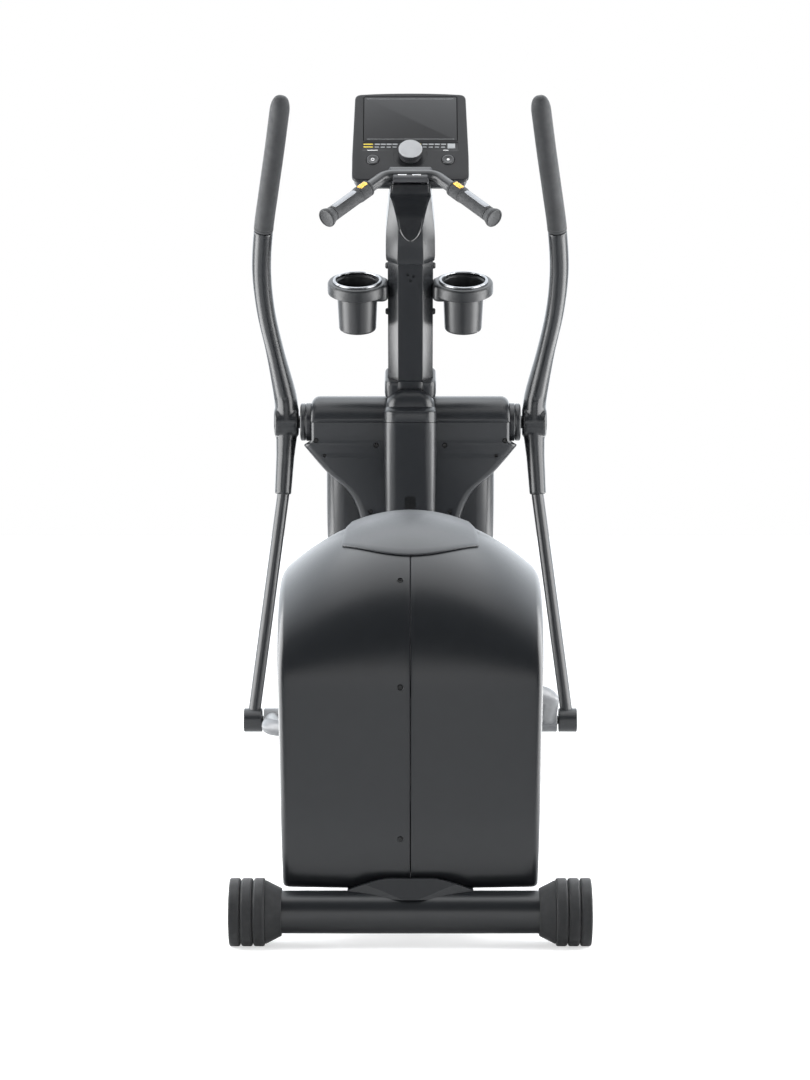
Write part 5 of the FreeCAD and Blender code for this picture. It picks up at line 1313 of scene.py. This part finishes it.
def handle_ring(share, scale=1.0, lift=0.0):
    """The handle's section at a share of its route, as an oval square to the route."""
    spots = [Vector(spot) for spot, *_ in HANDLE_KEYS]
    sizes = [Vector((wide, deep, 0)) for _, wide, deep in HANDLE_KEYS]
    here = smooth_line(spots, share)
    before, after = smooth_line(spots, max(0.0, share - 0.01)), smooth_line(spots, min(1.0, share + 0.01))
    run = (after - before).normalized()
    size = smooth_line(sizes, share)
    across = (Vector((1, 0, 0)) - run * run.x).normalized()
    ahead = run.cross(across)
    ring = []
    for k in range(48):
        angle = 2 * math.pi * k / 48
        ring.append(here + run * lift + across * (size.x * scale * math.cos(angle))
                    + ahead * (size.y * scale * math.sin(angle)))
    return ring


def melted(name, parts, voxel, rounds):
    """Join closed meshes into one moulding with soft inner corners."""
    first = parts[0]
    first.name = name
    for other in parts[1:]:
        union = first.modifiers.new("join", "BOOLEAN")
        union.operation = "UNION"
        union.solver = "MANIFOLD"
        union.object = other
    apply_all(first)
    for other in parts[1:]:
        bpy.data.objects.remove(other)
    skin = first.modifiers.new("skin", "REMESH")
    skin.mode = "VOXEL"
    skin.voxel_size = voxel
    ease = first.modifiers.new("ease", "SMOOTH")
    ease.factor = 0.5
    ease.iterations = rounds
    apply_all(first)
    return first


def make_swing_covers():
    """Both swing-arm mouldings, with a hub, a sleeve for the lower rod and a plug over the pivot."""
    handle = loft("handle", [handle_ring((GRIP_SHARE - 0.0015) * k / 48) for k in range(49)])
    hub = lathe("hub", [(0, 0), (HUB_R - 0.005, 0), (HUB_R, 0.005), (HUB_R, HUB_OUT - HUB_IN - 0.005),
                        (HUB_R - 0.005, HUB_OUT - HUB_IN), (0, HUB_OUT - HUB_IN)],
                along_x((HUB_IN, PIVOT.y, PIVOT.z)), 0.001, 72)
    foot, head = Vector((0.300, PIVOT.y, 0.776)), Vector((0.290, PIVOT.y, 0.930))
    run = head - foot
    sleeve = lathe("sleeve", [(0, 0.0), (0.0178, 0.0), (0.0194, 0.0016), (0.0216, run.length * 0.6),
                              (0.0262, run.length), (0, run.length)], pointing(foot, run), 0.0006, 64)
    cover = melted("swing_cover_right_skin", [handle, hub, sleeve], 0.0018, 22)
    inner = block("inner", (0.10, 0.30, 0.70), (HUB_IN, 0.60, 1.10), 0.0005, 2)
    well = lathe("well", [(0, 0), (0.0290, 0), (0.0296, 0.0014), (0.0296, 0.01), (0, 0.01)],
                 along_x((HUB_OUT - 0.0022, PIVOT.y, PIVOT.z)), 0, 64)
    bore = lathe("bore", [(0, -0.01), (0.0156, -0.01), (0.0156, 0.047), (0, 0.047)],
                 along_x((HUB_IN, PIVOT.y, PIVOT.z)), 0, 48)
    carve(cover, inner, well, bore)
    plug = lathe("hub_plug_right", [(0, -0.0020), (0.0286, -0.0020), (0.0290, -0.0012), (0.0282, -0.0003),
                                    (0.0240, 0.0), (0, 0.0)],
                 along_x((HUB_OUT - 0.0002, PIVOT.y, PIVOT.z)), 0.0002, 64)
    settle_pair(cover, "swing_cover_left_skin", "charcoal_plastic",
                ("swing_cover_right", "swing_cover_left"), 60, SWING_BODIES, finish="arm_plastic")
    settle_pair(plug, "hub_plug_left", "charcoal_plastic", bodies=SWING_BODIES)


def make_swing_grips():
    """The rubber grips: a stepped lower lip, a long plain stretch and a domed top."""
    rings = []
    for scale, gap in ((0.93, 0.0), (0.99, 0.0006), (1.0, 0.0022), (1.0, 0.0058),
                       (0.965, 0.0066), (0.965, 0.0080), (1.0, 0.0088)):
        rings.append(handle_ring(GRIP_SHARE + gap / 0.95, scale))
    rings += [handle_ring(GRIP_SHARE + 0.0105 + (1 - GRIP_SHARE - 0.0105) * k / 44) for k in range(45)]
    for k in range(1, 13):
        angle = math.pi / 2 * k / 12
        rings.append(handle_ring(1.0, max(0.02, math.cos(angle) ** 0.7), 0.0355 * math.sin(angle)))
    grip = loft("grip_cover_right", rings)
    settle_pair(grip, "grip_cover_left", "rubber", ("swing_grip_right", "swing_grip_left"), 40,
                SWING_BODIES, finish="grip_rubber")


# ------------------------------------------------------------------ build
make_camera()
make_light()
make_floor()
make_housing()
make_cap()
make_seam_screws()
make_feet()
make_tee()
make_tee_screws()
make_spine()
make_shroud()
make_collar()
make_rings()
make_mast()
make_neck()
make_cups()
make_pad()
make_case()
make_face()
make_controls()
make_handlebar()
make_swing_covers()
make_swing_grips()
